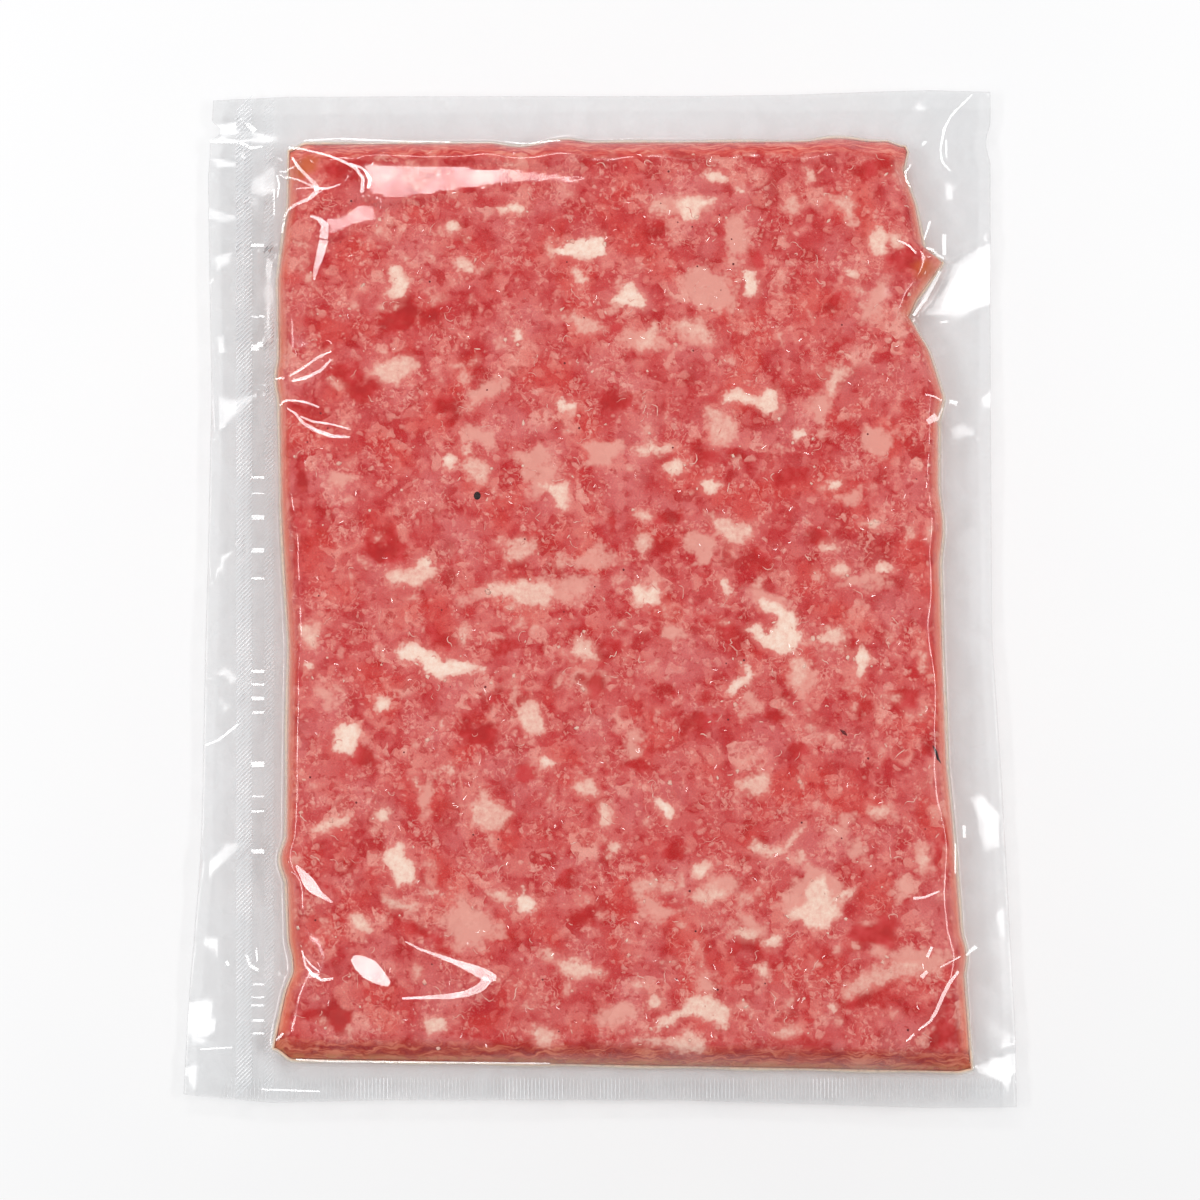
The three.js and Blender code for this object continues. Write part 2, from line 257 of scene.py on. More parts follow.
# Middle of a pressed corner's fold line, direction to the corner, run, fall, and the depth and half
# width of the crease along that line.
PRESSED_CORNERS = [
    ((-57, -78.5), (-0.447, -0.894), 42, 4.6, 1.0, 4),
    ((80.5, -103), (0.79, -0.61), 18, 4.0, -0.6, 4),
    ((-68, 103), (-0.62, 0.78), 16, 3.8, 0.9, 4),
    ((69, 106), (0.66, 0.75), 13, 2.4, 0, 4),
]
# x, y, reach and depth of each hollow of the top; one is a swelling.
HOLLOWS = [
    (80, 69, 17, 2.1), (-80, 57, 11, 1.4), (-78, -92, 12, 1.6), (87, 82.5, 8, 1.4), (-30, -97, 12, -0.5),
]
# Length, direction, phase and height of each wave, and ends, half width and height of each fold.
RIM_WAVES = [(71, 62, 0.15, 0.3), (47, 118, 0.62, 0.15), (29, 20, 0.37, 0.08)]
RIM_FOLDS = [
    ((86, 82), (100, 76), 7, 1.6), ((84, 122), (87, 104), 4.5, 1.3), ((-100, 115.5), (-84, 113), 4, 1.2),
    ((-101, -71), (-84, -60), 6, 1.2), ((-103, -112), (-84, -108), 6, -0.9),
    ((92, -112), (102, -118), 6, 1.1),
]
LATTICE_CELLS = 280                      # cells of the random lattice behind every ripple
LUMP_SEED = 4127
LUMP_COUNT = 420
LUMPED_WIDTH = 180
LUMPED_LENGTH = 240
LUMP_REACH = (3.2, 9)
LUMP_STEEPNESS = 0.055                   # greatest height of a lump for each millimetre of its reach

# Pleats of the film, each as the corners of a flat facet in the photo's pixels.
BLOCK_PLEATS = [
    [(363, 161), (400, 161), (505, 165), (560, 171), (584, 176), (560, 183), (505, 187), (480, 191),
     (420, 201), (372, 205), (364, 190)],
    [(322, 217), (340, 215), (356, 202), (377, 203), (376, 223), (354, 229), (338, 238), (326, 238)],
]
RIM_PLEATS = [
    [(212, 122), (240, 120), (241, 137), (214, 137)], [(208, 156), (238, 158), (237, 169), (214, 174)],
    [(245, 198), (248, 186), (262, 168), (272, 159), (280, 166), (279, 197), (262, 203)],
    [(208, 205), (237, 213), (239, 220), (224, 228), (209, 223)],
    [(212, 254), (238, 247), (226, 269), (213, 281)],
    [(262, 250), (275, 250), (276, 300), (272, 342), (262, 346)],
    [(213, 338), (229, 331), (226, 353), (215, 359)],
    [(213, 399), (240, 396), (263, 389), (262, 401), (238, 411), (227, 430), (213, 437)],
    [(211, 579), (216, 560), (236, 545), (240, 552), (222, 567), (216, 582)],
    [(206, 676), (222, 666), (237, 670), (242, 677), (238, 686), (222, 680)],
    [(215, 701), (238, 704), (219, 718)], [(228, 738), (233, 726), (240, 724), (234, 740)],
    [(202, 860), (222, 847), (243, 840), (248, 845), (236, 859), (216, 876), (201, 889)],
    [(195, 946), (202, 936), (222, 938), (225, 959), (213, 951)],
    [(188, 1000), (204, 999), (213, 988), (220, 1012), (224, 1032), (210, 1040), (186, 1032)],
    [(268, 948), (281, 948), (282, 972), (288, 977), (270, 977)],
    [(184, 1068), (204, 1066), (200, 1090), (187, 1090)],
    [(941, 182), (950, 183), (958, 190), (958, 203), (944, 204)],
    [(944, 280), (948, 263), (962, 252), (980, 243), (991, 239), (991, 309), (960, 318), (914, 320),
     (932, 300)], [(978, 398), (990, 388), (990, 412), (983, 410)],
    [(945, 428), (960, 422), (978, 430), (976, 440), (950, 438)],
    [(964, 796), (986, 796), (1003, 812), (1003, 850), (984, 852), (977, 836), (972, 812)],
    [(994, 914), (1006, 910), (1007, 935), (998, 933)],
    [(970, 1065), (985, 1060), (1000, 1054), (1017, 1049), (1018, 1070), (1010, 1092), (998, 1084),
     (975, 1075)],
]

SOFTBOX_AIM = 0.35                       # share of a softbox's size, from its middle, that film may aim at
RIM_CELLS = 16
EDGE_LINE = 0.006                        # a last line close to the edge, which keeps it crisp
FILM_CELL = 0.92
FILM_CLEARANCE = 0.02                    # least height of the under film over the table
LOWER_EVERY = 2                          # the underside has one line for so many of the top's
SETTLING_ROUNDS = 12
EDGE_STOPS = [0, 0.02, 0.06, 0.12, 0.2, 0.3, 0.42, 0.56, 0.7, 0.85, 1]
BLOCK_WIDTH = 165
BLOCK_LENGTH = 232
FILM_CLOUD = 9                           # size of the film's hazy clouds
FILM_DENSITY = 1.5                       # optical density of the film
SINGLE_TINT = (0.995, 0.995, 0.995, 1)   # light that one film lets through, and two sealed sheets
SEALED_TINT = (0.963, 0.963, 0.964, 1)
FILM_ROUGHNESS = (0.3, 0.7, 0.1, 0.18)   # from and to of the clouds, and how rough it is at each
SEALED_ROUGHNESS = 0.08                  # added where it is sealed
HAZE_RANGE = (0.35, 0.7)                 # from and to of the clouds, where the haze grows
CLEAREST_HAZE = 0.4                      # share of the haze that is left where it is least
MILK_TONE = (238, 240, 242)
POUCH_HAZE = 0.14
SEALED_FROM = 1.5                        # distance outside the block from which the sheets are sealed


def hump(t):
    """1 in the middle, and 0 from t = 1 outwards."""
    return np.clip(1 - t * t, 0, None) ** 2


def side_at(side, place):
    """How far out a side stands at a place along it."""
    knots, bends = side
    out = np.interp(place, [knot[0] for knot in knots], [knot[1] for knot in knots])
    for at, bend, reach in bends:
        out = out + bend * hump((place - at) / reach)
    return out


def outline_at(outline, x, y, inset=0.0):
    """The four sides of an outline abreast of (x, y)."""
    return {"left": inset - side_at(outline["left"], y), "right": side_at(outline["right"], y) - inset,
            "bottom": inset - side_at(outline["bottom"], x), "top": side_at(outline["top"], x) - inset}


def depths_inside(x, y, sides):
    """Distance of (x, y) inside each of four sides."""
    return {"left": x - sides["left"], "right": sides["right"] - x,
            "bottom": y - sides["bottom"], "top": sides["top"] - y}


def least_depth(x, y, inset=0.0):
    """Distance of (x, y) inside the block's nearest side; less than 0 outside."""
    return np.min(list(depths_inside(x, y, outline_at(BLOCK, x, y, inset)).values()), axis=0)


def ripples(x, y, size, seed):
    """Soft random relief from -1 to 1, whose lumps are about a size."""
    lattice = np.random.default_rng(seed).uniform(-1, 1, (LATTICE_CELLS, LATTICE_CELLS))
    column = np.asarray(x) / size + LATTICE_CELLS // 2
    row = np.asarray(y) / size + LATTICE_CELLS // 2
    i = np.floor(column).astype(int)
    j = np.floor(row).astype(int)
    u = column - i
    v = row - j
    u = u * u * (3 - 2 * u)
    v = v * v * (3 - 2 * v)
    low = lattice[i, j] * (1 - u) + lattice[i + 1, j] * u
    high = lattice[i, j + 1] * (1 - u) + lattice[i + 1, j + 1] * u
    return low * (1 - v) + high * v


def rounded_edges(x, y, sides, shoulders):
    """0 at the four sides and 1 past their rounded edges."""
    rise = 1.0
    for side, inside in depths_inside(x, y, sides).items():
        width, fullness = shoulders[side]
        t = np.clip(inside / (width * (1 + SHOULDER_SWAY * ripples(x, y, *SHOULDER_RIPPLE))), 0, 1)
        rise = rise * (1 - (1 - t) ** fullness) ** (1 / fullness)
    return rise


def seeded_numbers(seed):
    """A repeatable stream of numbers from 0 to 1."""
    state = seed
    while True:
        state = state * 16807 % 2147483647
        yield state / 2147483647


def scatter_lumps():
    """Place, reach and height of each soft lump of the mince."""
    stream = seeded_numbers(LUMP_SEED)
    found = []
    for _ in range(LUMP_COUNT):
        x = (next(stream) - 0.5) * LUMPED_WIDTH
        y = (next(stream) - 0.5) * LUMPED_LENGTH
        reach = LUMP_REACH[0] + (LUMP_REACH[1] - LUMP_REACH[0]) * next(stream)
        found.append((x, y, reach, LUMP_STEEPNESS * reach * (next(stream) * 2 - 1)))
    return found


lumps = scatter_lumps()


def lump_relief(x, y):
    """How far the lumps lift (x, y)."""
    relief = np.zeros_like(x)
    for lump_x, lump_y, reach, height in lumps:
        relief += height * hump(np.hypot(x - lump_x, y - lump_y) / reach)
    return relief


def pressed_depth(x, y):
    """How far the pressed corners and the hollows bring the top down."""
    depth = np.zeros_like(x)
    for middle, towards, run, fall, crease, half in PRESSED_CORNERS:
        past = (x - middle[0]) * towards[0] + (y - middle[1]) * towards[1]
        along = (x - middle[0]) * towards[1] - (y - middle[1]) * towards[0]
        depth += fall * np.clip(past, 0, None) / run + crease * hump(past / half) * hump(along / run)
    for at_x, at_y, reach, deep in HOLLOWS:
        depth += deep * hump(np.hypot(x - at_x, y - at_y) / reach)
    return depth


def block_rise(x, y, sides):
    """How far the top of the block stands over its seam."""
    crown = CROWN_FALL / 2 * ((x / CROWN_REACH[0]) ** 2 + (y / CROWN_REACH[1]) ** 2)
    full = BLOCK_HEIGHT - SEAM_HEIGHT - crown - pressed_depth(x, y) + lump_relief(x, y)
    return full * rounded_edges(x, y, sides, SHOULDER)


def away_from_line(x, y, start, end):
    """Distance of (x, y) from a stretch of line."""
    dx = end[0] - start[0]
    dy = end[1] - start[1]
    t = np.clip(((x - start[0]) * dx + (y - start[1]) * dy) / (dx * dx + dy * dy), 0, 1)
    return np.hypot(x - start[0] - dx * t, y - start[1] - dy * t)


def rim_reach(x, y, block, pouch):
    """0 at the block's outline and 1 at the pouch's edge."""
    reaches = [(block[side] - (x if side in ("left", "right") else y)) / (block[side] - pouch[side])
               for side in SIDES]
    return np.clip(np.max(reaches, axis=0), 0, 1)


def plain_rim(x, y):
    """Middle height of the rim's two films, before its pleats."""
    reach = rim_reach(x, y, outline_at(BLOCK, x, y), outline_at(POUCH, x, y))
    height = SEAM_HEIGHT - RIM_DROOP * reach
    for length, direction, phase, wave in RIM_WAVES:
        turn = math.radians(direction)
        place = (x * math.cos(turn) + y * math.sin(turn)) / length
        height = height + reach * wave * np.sin(2 * math.pi * (place + phase))
    for start, end, half, ridge in RIM_FOLDS:
        height = height + np.sqrt(reach) * ridge * hump(away_from_line(x, y, start, end) / half)
    return height


def shining_slope(x, y, height):
    """The least slope of film at a place that sends the light of a softbox to the camera."""
    spot = np.array([x, y, height])
    to_camera = view_place - spot
    to_camera /= np.linalg.norm(to_camera)
    mirrored = spot[:2] - (SOFTBOX_HEIGHT - height) * to_camera[:2] / to_camera[2]
    slopes = []
    for box_x, box_y, width, length in SOFTBOXES:
        near_x = np.clip(mirrored[0], box_x - width * SOFTBOX_AIM, box_x + width * SOFTBOX_AIM)
        near_y = np.clip(mirrored[1], box_y - length * SOFTBOX_AIM, box_y + length * SOFTBOX_AIM)
        to_box = np.array([near_x, near_y, SOFTBOX_HEIGHT]) - spot
        half_way = to_box / np.linalg.norm(to_box) + to_camera
        slopes.append(-half_way[:2] / half_way[2])
    return min(slopes, key=np.linalg.norm)


def lean_pleats(facets, height_at):
    """Works out each facet's corners in millimetres, its plane, and how wide its edge is."""
    found = []
    for facet in facets:
        pixel_x, pixel_y = np.transpose(facet)
        x, y = seen_at(pixel_x, pixel_y, BLOCK_HEIGHT)
        x, y = seen_at(pixel_x, pixel_y, height_at(x, y))
        area = abs(np.dot(x, np.roll(y, 1)) - np.dot(y, np.roll(x, 1))) / 2
        girth = np.hypot(x - np.roll(x, 1), y - np.roll(y, 1)).sum()
        middle = np.array([x.mean(), y.mean(), 0])
        middle[2] = height_at(middle[:1], middle[1:2])[0]
        ease_width = min(PLEAT_EASE, PLEAT_EASE_SHARE * area / girth)
        found.append((list(zip(x, y)), middle, shining_slope(*middle), ease_width))
    return found


def depth_in_loop(x, y, corners):
    """How deep (x, y) lies inside a loop of corners; less than 0 outside."""
    away = np.full(np.shape(x), 1e9)
    inside = np.zeros(np.shape(x), bool)
    for start, end in zip(corners, corners[1:] + corners[:1]):
        away = np.minimum(away, away_from_line(x, y, start, end))
        crosses = (start[1] > y) != (end[1] > y)
        inside ^= crosses & (x < start[0] + (end[0] - start[0]) * (y - start[1]) / (end[1] - start[1] or 1))
    return np.where(inside, away, -away)


def pleated(x, y, height, pleats):
    """A height with pleats laid into it."""
    height = np.array(height)
    for corners, middle, slope, ease_width in pleats:
        low = np.min(corners, axis=0) - PLEAT_SPREAD
        high = np.max(corners, axis=0) + PLEAT_SPREAD
        near = (x > low[0]) & (x < high[0]) & (y > low[1]) & (y < high[1])
        share = np.clip((depth_in_loop(x[near], y[near], corners) + PLEAT_SPREAD) / ease_width, 0, 1)
        lean = middle[2] + slope[0] * (x[near] - middle[0]) + slope[1] * (y[near] - middle[1])
        height[near] += (lean - height[near]) * share * share * (3 - 2 * share)
    return height


rim_pleats = lean_pleats(RIM_PLEATS, plain_rim)


def rim_form(x, y):
    """Middle height of the rim's two films."""
    return pleated(x, y, plain_rim(x, y), rim_pleats)


def plain_top(x, y, inset=0.0):
    """Height of the film over the block and of the rim outside it, before the block's pleats."""
    outside = np.clip(-least_depth(x, y, inset), 0, None)
    slack = BRIDGE_HEIGHT * (1 - BRIDGE_SWAY + BRIDGE_SWAY * ripples(x, y, *BRIDGE_RIPPLE))
    bridge = (0 if inset else slack) * np.clip(1 - outside / BRIDGE_WIDTH, 0, 1) ** 2
    rise = block_rise(x, y, outline_at(BLOCK, x, y, inset))
    cling = sum(height * ripples(x, y, size, seed) for size, height, seed in CLING)
    rim = rim_form(x, y)
    settled = np.clip(rise / CLING_RISE, 0, 1)
    return rim + (plain_rim(x, y) - rim + cling) * settled + np.maximum(rise, bridge)


block_pleats = lean_pleats(BLOCK_PLEATS, plain_top)


def top_form(x, y, inset=0.0):
    """Height of the film over the block and of the rim outside it."""
    return pleated(x, y, plain_top(x, y, inset), block_pleats)


def grid_lines(width, low_width, high_width, step, rim_cells):
    """Grid lines as (zone, part): zones 0 and 2 are the rim, and zone 1 is the block."""
    flat = width - low_width - high_width
    count = math.ceil(flat / step)
    lines = [(0, k / max(rim_cells, 1)) for k in range(rim_cells)]
    lines[1:1] = [(0, EDGE_LINE)] * (rim_cells > 0)
    lines += [(1, stop * low_width / width) for stop in EDGE_STOPS]
    lines += [(1, (low_width + flat * k / count) / width) for k in range(1, count)]
    lines += [(1, 1 - stop * high_width / width) for stop in reversed(EDGE_STOPS)]
    lines += [(2, k / max(rim_cells, 1)) for k in range(1, rim_cells + 1)]
    lines[-1:-1] = [(2, 1 - EDGE_LINE)] * (rim_cells > 0)
    return np.array(lines)


def line_places(zone, part, low_edge, low, high, high_edge):
    """Where grid lines run between the pouch's and the block's sides."""
    starts = np.choose(zone, [low_edge, low, high])
    ends = np.choose(zone, [low, high, high_edge])
    return starts + (ends - starts) * part


def crossings(step, rim_cells, inset=0.0):
    """Where a grid's lines cross: each bends with the others, so a few rounds settle it."""
    columns = grid_lines(BLOCK_WIDTH, SHOULDER["left"][0], SHOULDER["right"][0], step, rim_cells)
    rows = grid_lines(BLOCK_LENGTH, SHOULDER["bottom"][0], SHOULDER["top"][0], step, rim_cells)
    zone_x, zone_y = np.meshgrid(columns[:, 0].astype(int), rows[:, 0].astype(int), indexing="ij")
    part_x, part_y = np.meshgrid(columns[:, 1], rows[:, 1], indexing="ij")
    x = np.zeros(part_x.shape)
    y = np.zeros(part_x.shape)
    for _ in range(SETTLING_ROUNDS):
        block = outline_at(BLOCK, x, y, inset)
        pouch = outline_at(POUCH, x, y)
        x = line_places(zone_x, part_x, pouch["left"], block["left"], block["right"], pouch["right"])
        y = line_places(zone_y, part_y, pouch["bottom"], block["bottom"], block["top"], pouch["top"])
    return x, y


def closed_form(x, y, top, low, every):
    """Points and faces of a closed body: a fine top, and an underside on only some of its lines."""
    count_x, count_y = x.shape
    kept_x = sorted(set(range(0, count_x - 2, every)) | {1, count_x - 2, count_x - 1})
    kept_y = sorted(set(range(0, count_y - 2, every)) | {1, count_y - 2, count_y - 1})
    points = np.stack([x, y, top], axis=-1).reshape(-1, 3)
    number = np.arange(count_x * count_y).reshape(count_x, count_y)
    quads = np.stack([number[:-1, :-1], number[1:, :-1], number[1:, 1:], number[:-1, 1:]], axis=-1)
    faces = quads.reshape(-1, 4).tolist()
    inner_x, inner_y = np.meshgrid(kept_x[1:-1], kept_y[1:-1], indexing="ij")
    under = number.copy()
    under[inner_x, inner_y] = len(points) + np.arange(inner_x.size).reshape(inner_x.shape)
    low_points = np.stack([x, y, low], axis=-1)[inner_x, inner_y].reshape(-1, 3)
    for i, next_i in zip(kept_x[:-1], kept_x[1:]):
        for j, next_j in zip(kept_y[:-1], kept_y[1:]):
            loop = [under[i, k] for k in range(j, next_j if i == 0 else j + 1)]
            loop += [under[k, next_j] for k in range(i, next_i if next_j == count_y - 1 else i + 1)]
            loop += [under[next_i, k] for k in range(next_j, j if next_i == count_x - 1 else next_j - 1, -1)]
            loop += [under[k, j] for k in range(next_i, i if j == 0 else next_i - 1, -1)]
            faces.append([int(corner) for corner in loop])
    return np.concatenate([points, low_points]), faces


film_x, film_y = crossings(FILM_CELL, RIM_CELLS)
pack_middle = np.array([film_x.min() + film_x.max(), film_y.min() + film_y.max(), 0]) / 2


def new_piece(name, points, faces, material):
    """A smooth mesh from points in millimetres, which rides on the pack."""
    mesh = bpy.data.meshes.new(name)
    mesh.from_pydata(((np.asarray(points) - pack_middle) * MM).tolist(), [], faces)
    mesh.materials.append(material)
    mesh.shade_smooth()
    piece = bpy.data.objects.new(name, mesh)
    bpy.context.collection.objects.link(piece)
    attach(piece, "root")
    return piece


def mark_points(piece, name, values):
    """Keeps one number for each point of a piece, for its material."""
    marks = piece.data.attributes.new(name, "FLOAT", "POINT")
    marks.data.foreach_set("value", np.asarray(values, np.float32))


def mark(tree, name):
    """Reads such a number in a material."""
    return node(tree, "Attribute", attribute_name=name).outputs["Fac"]


def flat_noise(tree, place, size, detail, rough=0.5):
    """Soft noise that is alike all the way down."""
    return node(tree, "TexNoise", {"Vector": place, "Scale": 1 / size, "Detail": detail, "Roughness": rough},
                noise_dimensions="2D").outputs["Fac"]


def film_material(name, haze, optical_density=FILM_DENSITY):
    """Clear glossy film, greyer and a little milky where its two sheets are sealed."""
    material = new_material(name)
    tree = material.node_tree
    cloud = flat_noise(tree, millimetres(tree), FILM_CLOUD, 1.0)
    sealed = mark(tree, "sealed")
    back = node(tree, "NewGeometry").outputs["Backfacing"]
    density = ease(tree, back, 0.0, 1.0, optical_density, 1 / optical_density)
    shine = node(tree, "Fresnel", {"IOR": density}).outputs[0]
    tint = blend(tree, sealed, SINGLE_TINT, SEALED_TINT)
    clear = node(tree, "BsdfTransparent", {"Color": tint}).outputs[0]
    rough = maths(tree, "ADD", ease(tree, cloud, *FILM_ROUGHNESS),
                  maths(tree, "MULTIPLY", sealed, SEALED_ROUGHNESS))
    gloss = node(tree, "BsdfAnisotropic", {"Color": (1, 1, 1, 1), "Roughness": rough})
    milk = node(tree, "BsdfDiffuse", {"Color": colour(*MILK_TONE)}).outputs[0]
    sheet = node(tree, "MixShader", {0: shine, 1: clear, 2: gloss.outputs[0]}).outputs[0]
    milky = ease(tree, cloud, *HAZE_RANGE, haze * CLEAREST_HAZE, haze)
    milky = maths(tree, "MULTIPLY", milky, sealed)
    surface(tree, node(tree, "MixShader", {0: milky, 1: sheet, 2: milk}).outputs[0])
    return material


film_half = RIM_THICKNESS / 2
film_top = top_form(film_x, film_y) + film_half
film_sides = outline_at(BLOCK, film_x, film_y)
film_under = rim_form(film_x, film_y) * (1 - rounded_edges(film_x, film_y, film_sides, UNDER_SHOULDER))
film_under = np.maximum(film_under - film_half, FILM_CLEARANCE)
points, faces = closed_form(film_x, film_y, film_top, film_under, LOWER_EVERY)
pouch = new_piece("pouch_film", points, faces, film_material("clear_film", POUCH_HAZE))
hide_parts("vacuum_pack")
outside = -least_depth(points[:, 0], points[:, 1])
mark_points(pouch, "sealed", np.clip(outside / SEALED_FROM, 0, 1))


# ---- Puckers of the film ----
# Where the vacuum gathers the film it stands up in narrow puckers, and over the mince it has small
# dents. Each is a run of little steps of film whose faces lean alike, so that it shines as one line.

PUCKER_STEP = 0.8
PUCKER_LIFT = 0.01
PUCKER_FULLNESS = 1.35                   # width of a pucker for each part of the shine that it shows
GATHERED_DENSITY = 1.62                  # folded film shines from more than one face
GLINT_SEED = 61
GLINT_COUNT = 320
GLINT_FIELD = ((-77, 84), (-114, 110))   # from and to across, and from and to along the pack
GLINT_RIPPLE = (11, 54)
GLINT_MARGIN = 2.5
GLINT_LENGTH = (0.4, 1.5)
GLINT_WIDTH = (0.12, 0.3)
GLINT_BEND = 0.3
# Runs of the photo's pixels, with the width of the pucker at each.
PUCKERS = [
    [(289, 148, 1.5), (316, 153, 1.8), (343, 162, 2), (356, 169, 2.2), (363, 179, 2.6), (362, 194, 3)],
    [(310, 217, 1.5), (318, 219, 3), (325, 226, 6), (324, 240, 6.5), (320, 256, 6), (316, 269, 4),
     (314, 281, 1)],
    [(296, 866, 1.5), (302, 874, 5), (308, 882, 8.5), (313, 889, 8), (320, 895, 4), (332, 903, 1.5)],
    [(350, 164, 1.5), (364, 170, 1.8), (370, 180, 2.4), (368, 189, 2)],
    [(292, 158, 1.4), (298, 168, 2.4), (308, 178, 2.4), (316, 186, 3.6), (317, 190, 4)],
    [(280, 173, 1.2), (294, 168, 1.2)],
    [(280, 176, 1.2), (294, 180, 1.3), (306, 184, 1.5), (315, 188, 2)],
    [(296, 190, 1.0), (313, 188, 1.4)], [(317, 189, 2.2), (328, 189, 1.5), (340, 185, 1.2)],
    [(317, 190, 4), (315, 194, 3.6), (308, 200, 2.8), (296, 205, 2.4), (288, 212, 2), (284, 220, 1.8),
     (282, 234, 1.5)], [(277, 176, 1.4), (279, 186, 1.2), (277, 198, 1.0)],
    [(274, 190, 1.0), (274, 216, 1.0)], [(276, 380, 1.4), (284, 379, 1.2)],
    [(289, 377, 1.3), (304, 368, 1.8), (318, 358, 2.2), (331, 352, 1.4)],
    [(292, 382, 2), (307, 378, 2.6), (321, 371, 2.6), (331, 360, 1.6)],
    [(280, 407, 1.2), (284, 402, 1.4), (294, 401, 1.6), (306, 403, 1.8), (319, 408, 1.4)],
    [(287, 409, 1.3), (296, 415, 1.8), (303, 424, 2.2), (315, 431, 2.8), (332, 437, 2.6),
     (350, 438, 1.4)], [(300, 417, 1.3), (312, 422, 1.6), (332, 425, 1.4), (350, 430, 1.0)],
    [(302, 951, 1.2), (305, 966, 1.6), (312, 975, 2), (322, 981, 2.2), (333, 979, 1.4)],
    [(303, 956, 1.2), (311, 966, 1.4), (319, 972, 1.2)],
    [(405, 942, 1), (420, 950, 1.6), (440, 957, 2.6), (458, 964, 4.2), (474, 970, 6.6), (486, 976, 8.5),
     (496, 979, 4)],
    [(488, 979, 7), (481, 988, 6.2), (467, 994, 4.6), (450, 997, 4), (428, 998, 2.6), (402, 999, 1.2)],
    [(352, 958, 4), (359, 963, 11), (369, 970, 15), (379, 978, 11), (389, 985, 4)],
    [(283, 1034, 2), (276, 1041, 1.6)], [(897, 241, 1.3), (907, 245, 1.8), (916, 254, 1.2)],
    [(925, 395, 1.3), (941, 402, 1.2)], [(942, 409, 1.2), (938, 419, 1.2)],
    [(927, 423, 4), (936, 418, 6)],
    [(958, 972, 1.6), (949, 984, 2.6), (942, 998, 2.6), (936, 1012, 2.6), (930, 1022, 2),
     (918, 1031, 1.2)], [(914, 1035, 1.6), (906, 1042, 1)], [(932, 947, 2), (927, 958, 2.2)],
    [(927, 972, 2.2), (921, 978, 3)], [(939, 892, 1.2), (924, 898, 1.8), (913, 899, 2)],
    [(960, 957, 1), (940, 968, 1)], [(955, 844, 1), (955, 874, 1)],
    [(972, 95, 1), (951, 116, 1.3), (944, 130, 1.6), (940, 150, 1.2), (942, 163, 1.6), (950, 172, 1)],
    [(946, 141, 1.2), (946, 158, 1.2)], [(944, 235, 3), (944, 256, 3)], [(930, 222, 2), (924, 240, 1)],
    [(913, 317, 2), (925, 300, 3), (940, 272, 2.4)], [(926, 249, 1.6), (935, 252, 2.6), (944, 259, 1.6)],
    [(911, 165, 1.2), (905, 172, 1.3), (906, 181, 1.4), (910, 188, 1.2)],
    [(922, 146, 1.2), (926, 142, 1.6)], [(940, 323, 1.4), (948, 322, 1.8)],
    [(949, 402, 2.6), (957, 404, 3)], [(964, 826, 2.4), (964, 838, 2)], [(966, 956, 1.4), (976, 947, 3)],
    [(210, 142, 2), (224, 143, 1.6), (238, 143, 1.6)],
    [(240, 143, 2.4), (251, 149, 2.4), (262, 147, 1.6)], [(246, 124, 3), (255, 132, 4)],
    [(304, 141, 1), (340, 139, 1.3), (400, 140, 1.2), (450, 142, 1)],
    [(505, 141, 1), (545, 142, 1.3), (560, 141, 1)],
    [(296, 1060, 1.2), (330, 1062, 1.4), (440, 1063, 1.2), (550, 1064, 1)],
    [(205, 746, 1.4), (218, 741, 1.6), (238, 725, 1.6)], [(262, 1090, 1.2), (320, 1092, 1)],
    [(200, 1050, 1), (232, 1048, 1)], [(226, 962, 2), (228, 966, 2)],
    [(246, 955, 2), (250, 966, 2.4), (258, 971, 2)], [(256, 948, 1.2), (257, 962, 1)],
]
# Dashes of the left seal that shine: row and width, and the columns that they lie between.
SHINING_DASHES = [
    (246, 2.4), (317, 1.4), (348, 4), (478, 1.6), (494, 1), (518, 3.4), (551, 3.4), (579, 1.6), (672, 2),
    (685, 1.6), (699, 2.6), (713, 2), (765, 4), (797, 1), (812, 1.4), (852, 3), (985, 1.2), (998, 1.1),
    (1006, 1.5), (1021, 1.7), (1034, 1.4),
]
DASH_COLUMNS = (251, 264)


def film_height(x, y):
    """Height of the film's upper face."""
    return top_form(x, y) + RIM_THICKNESS / 2


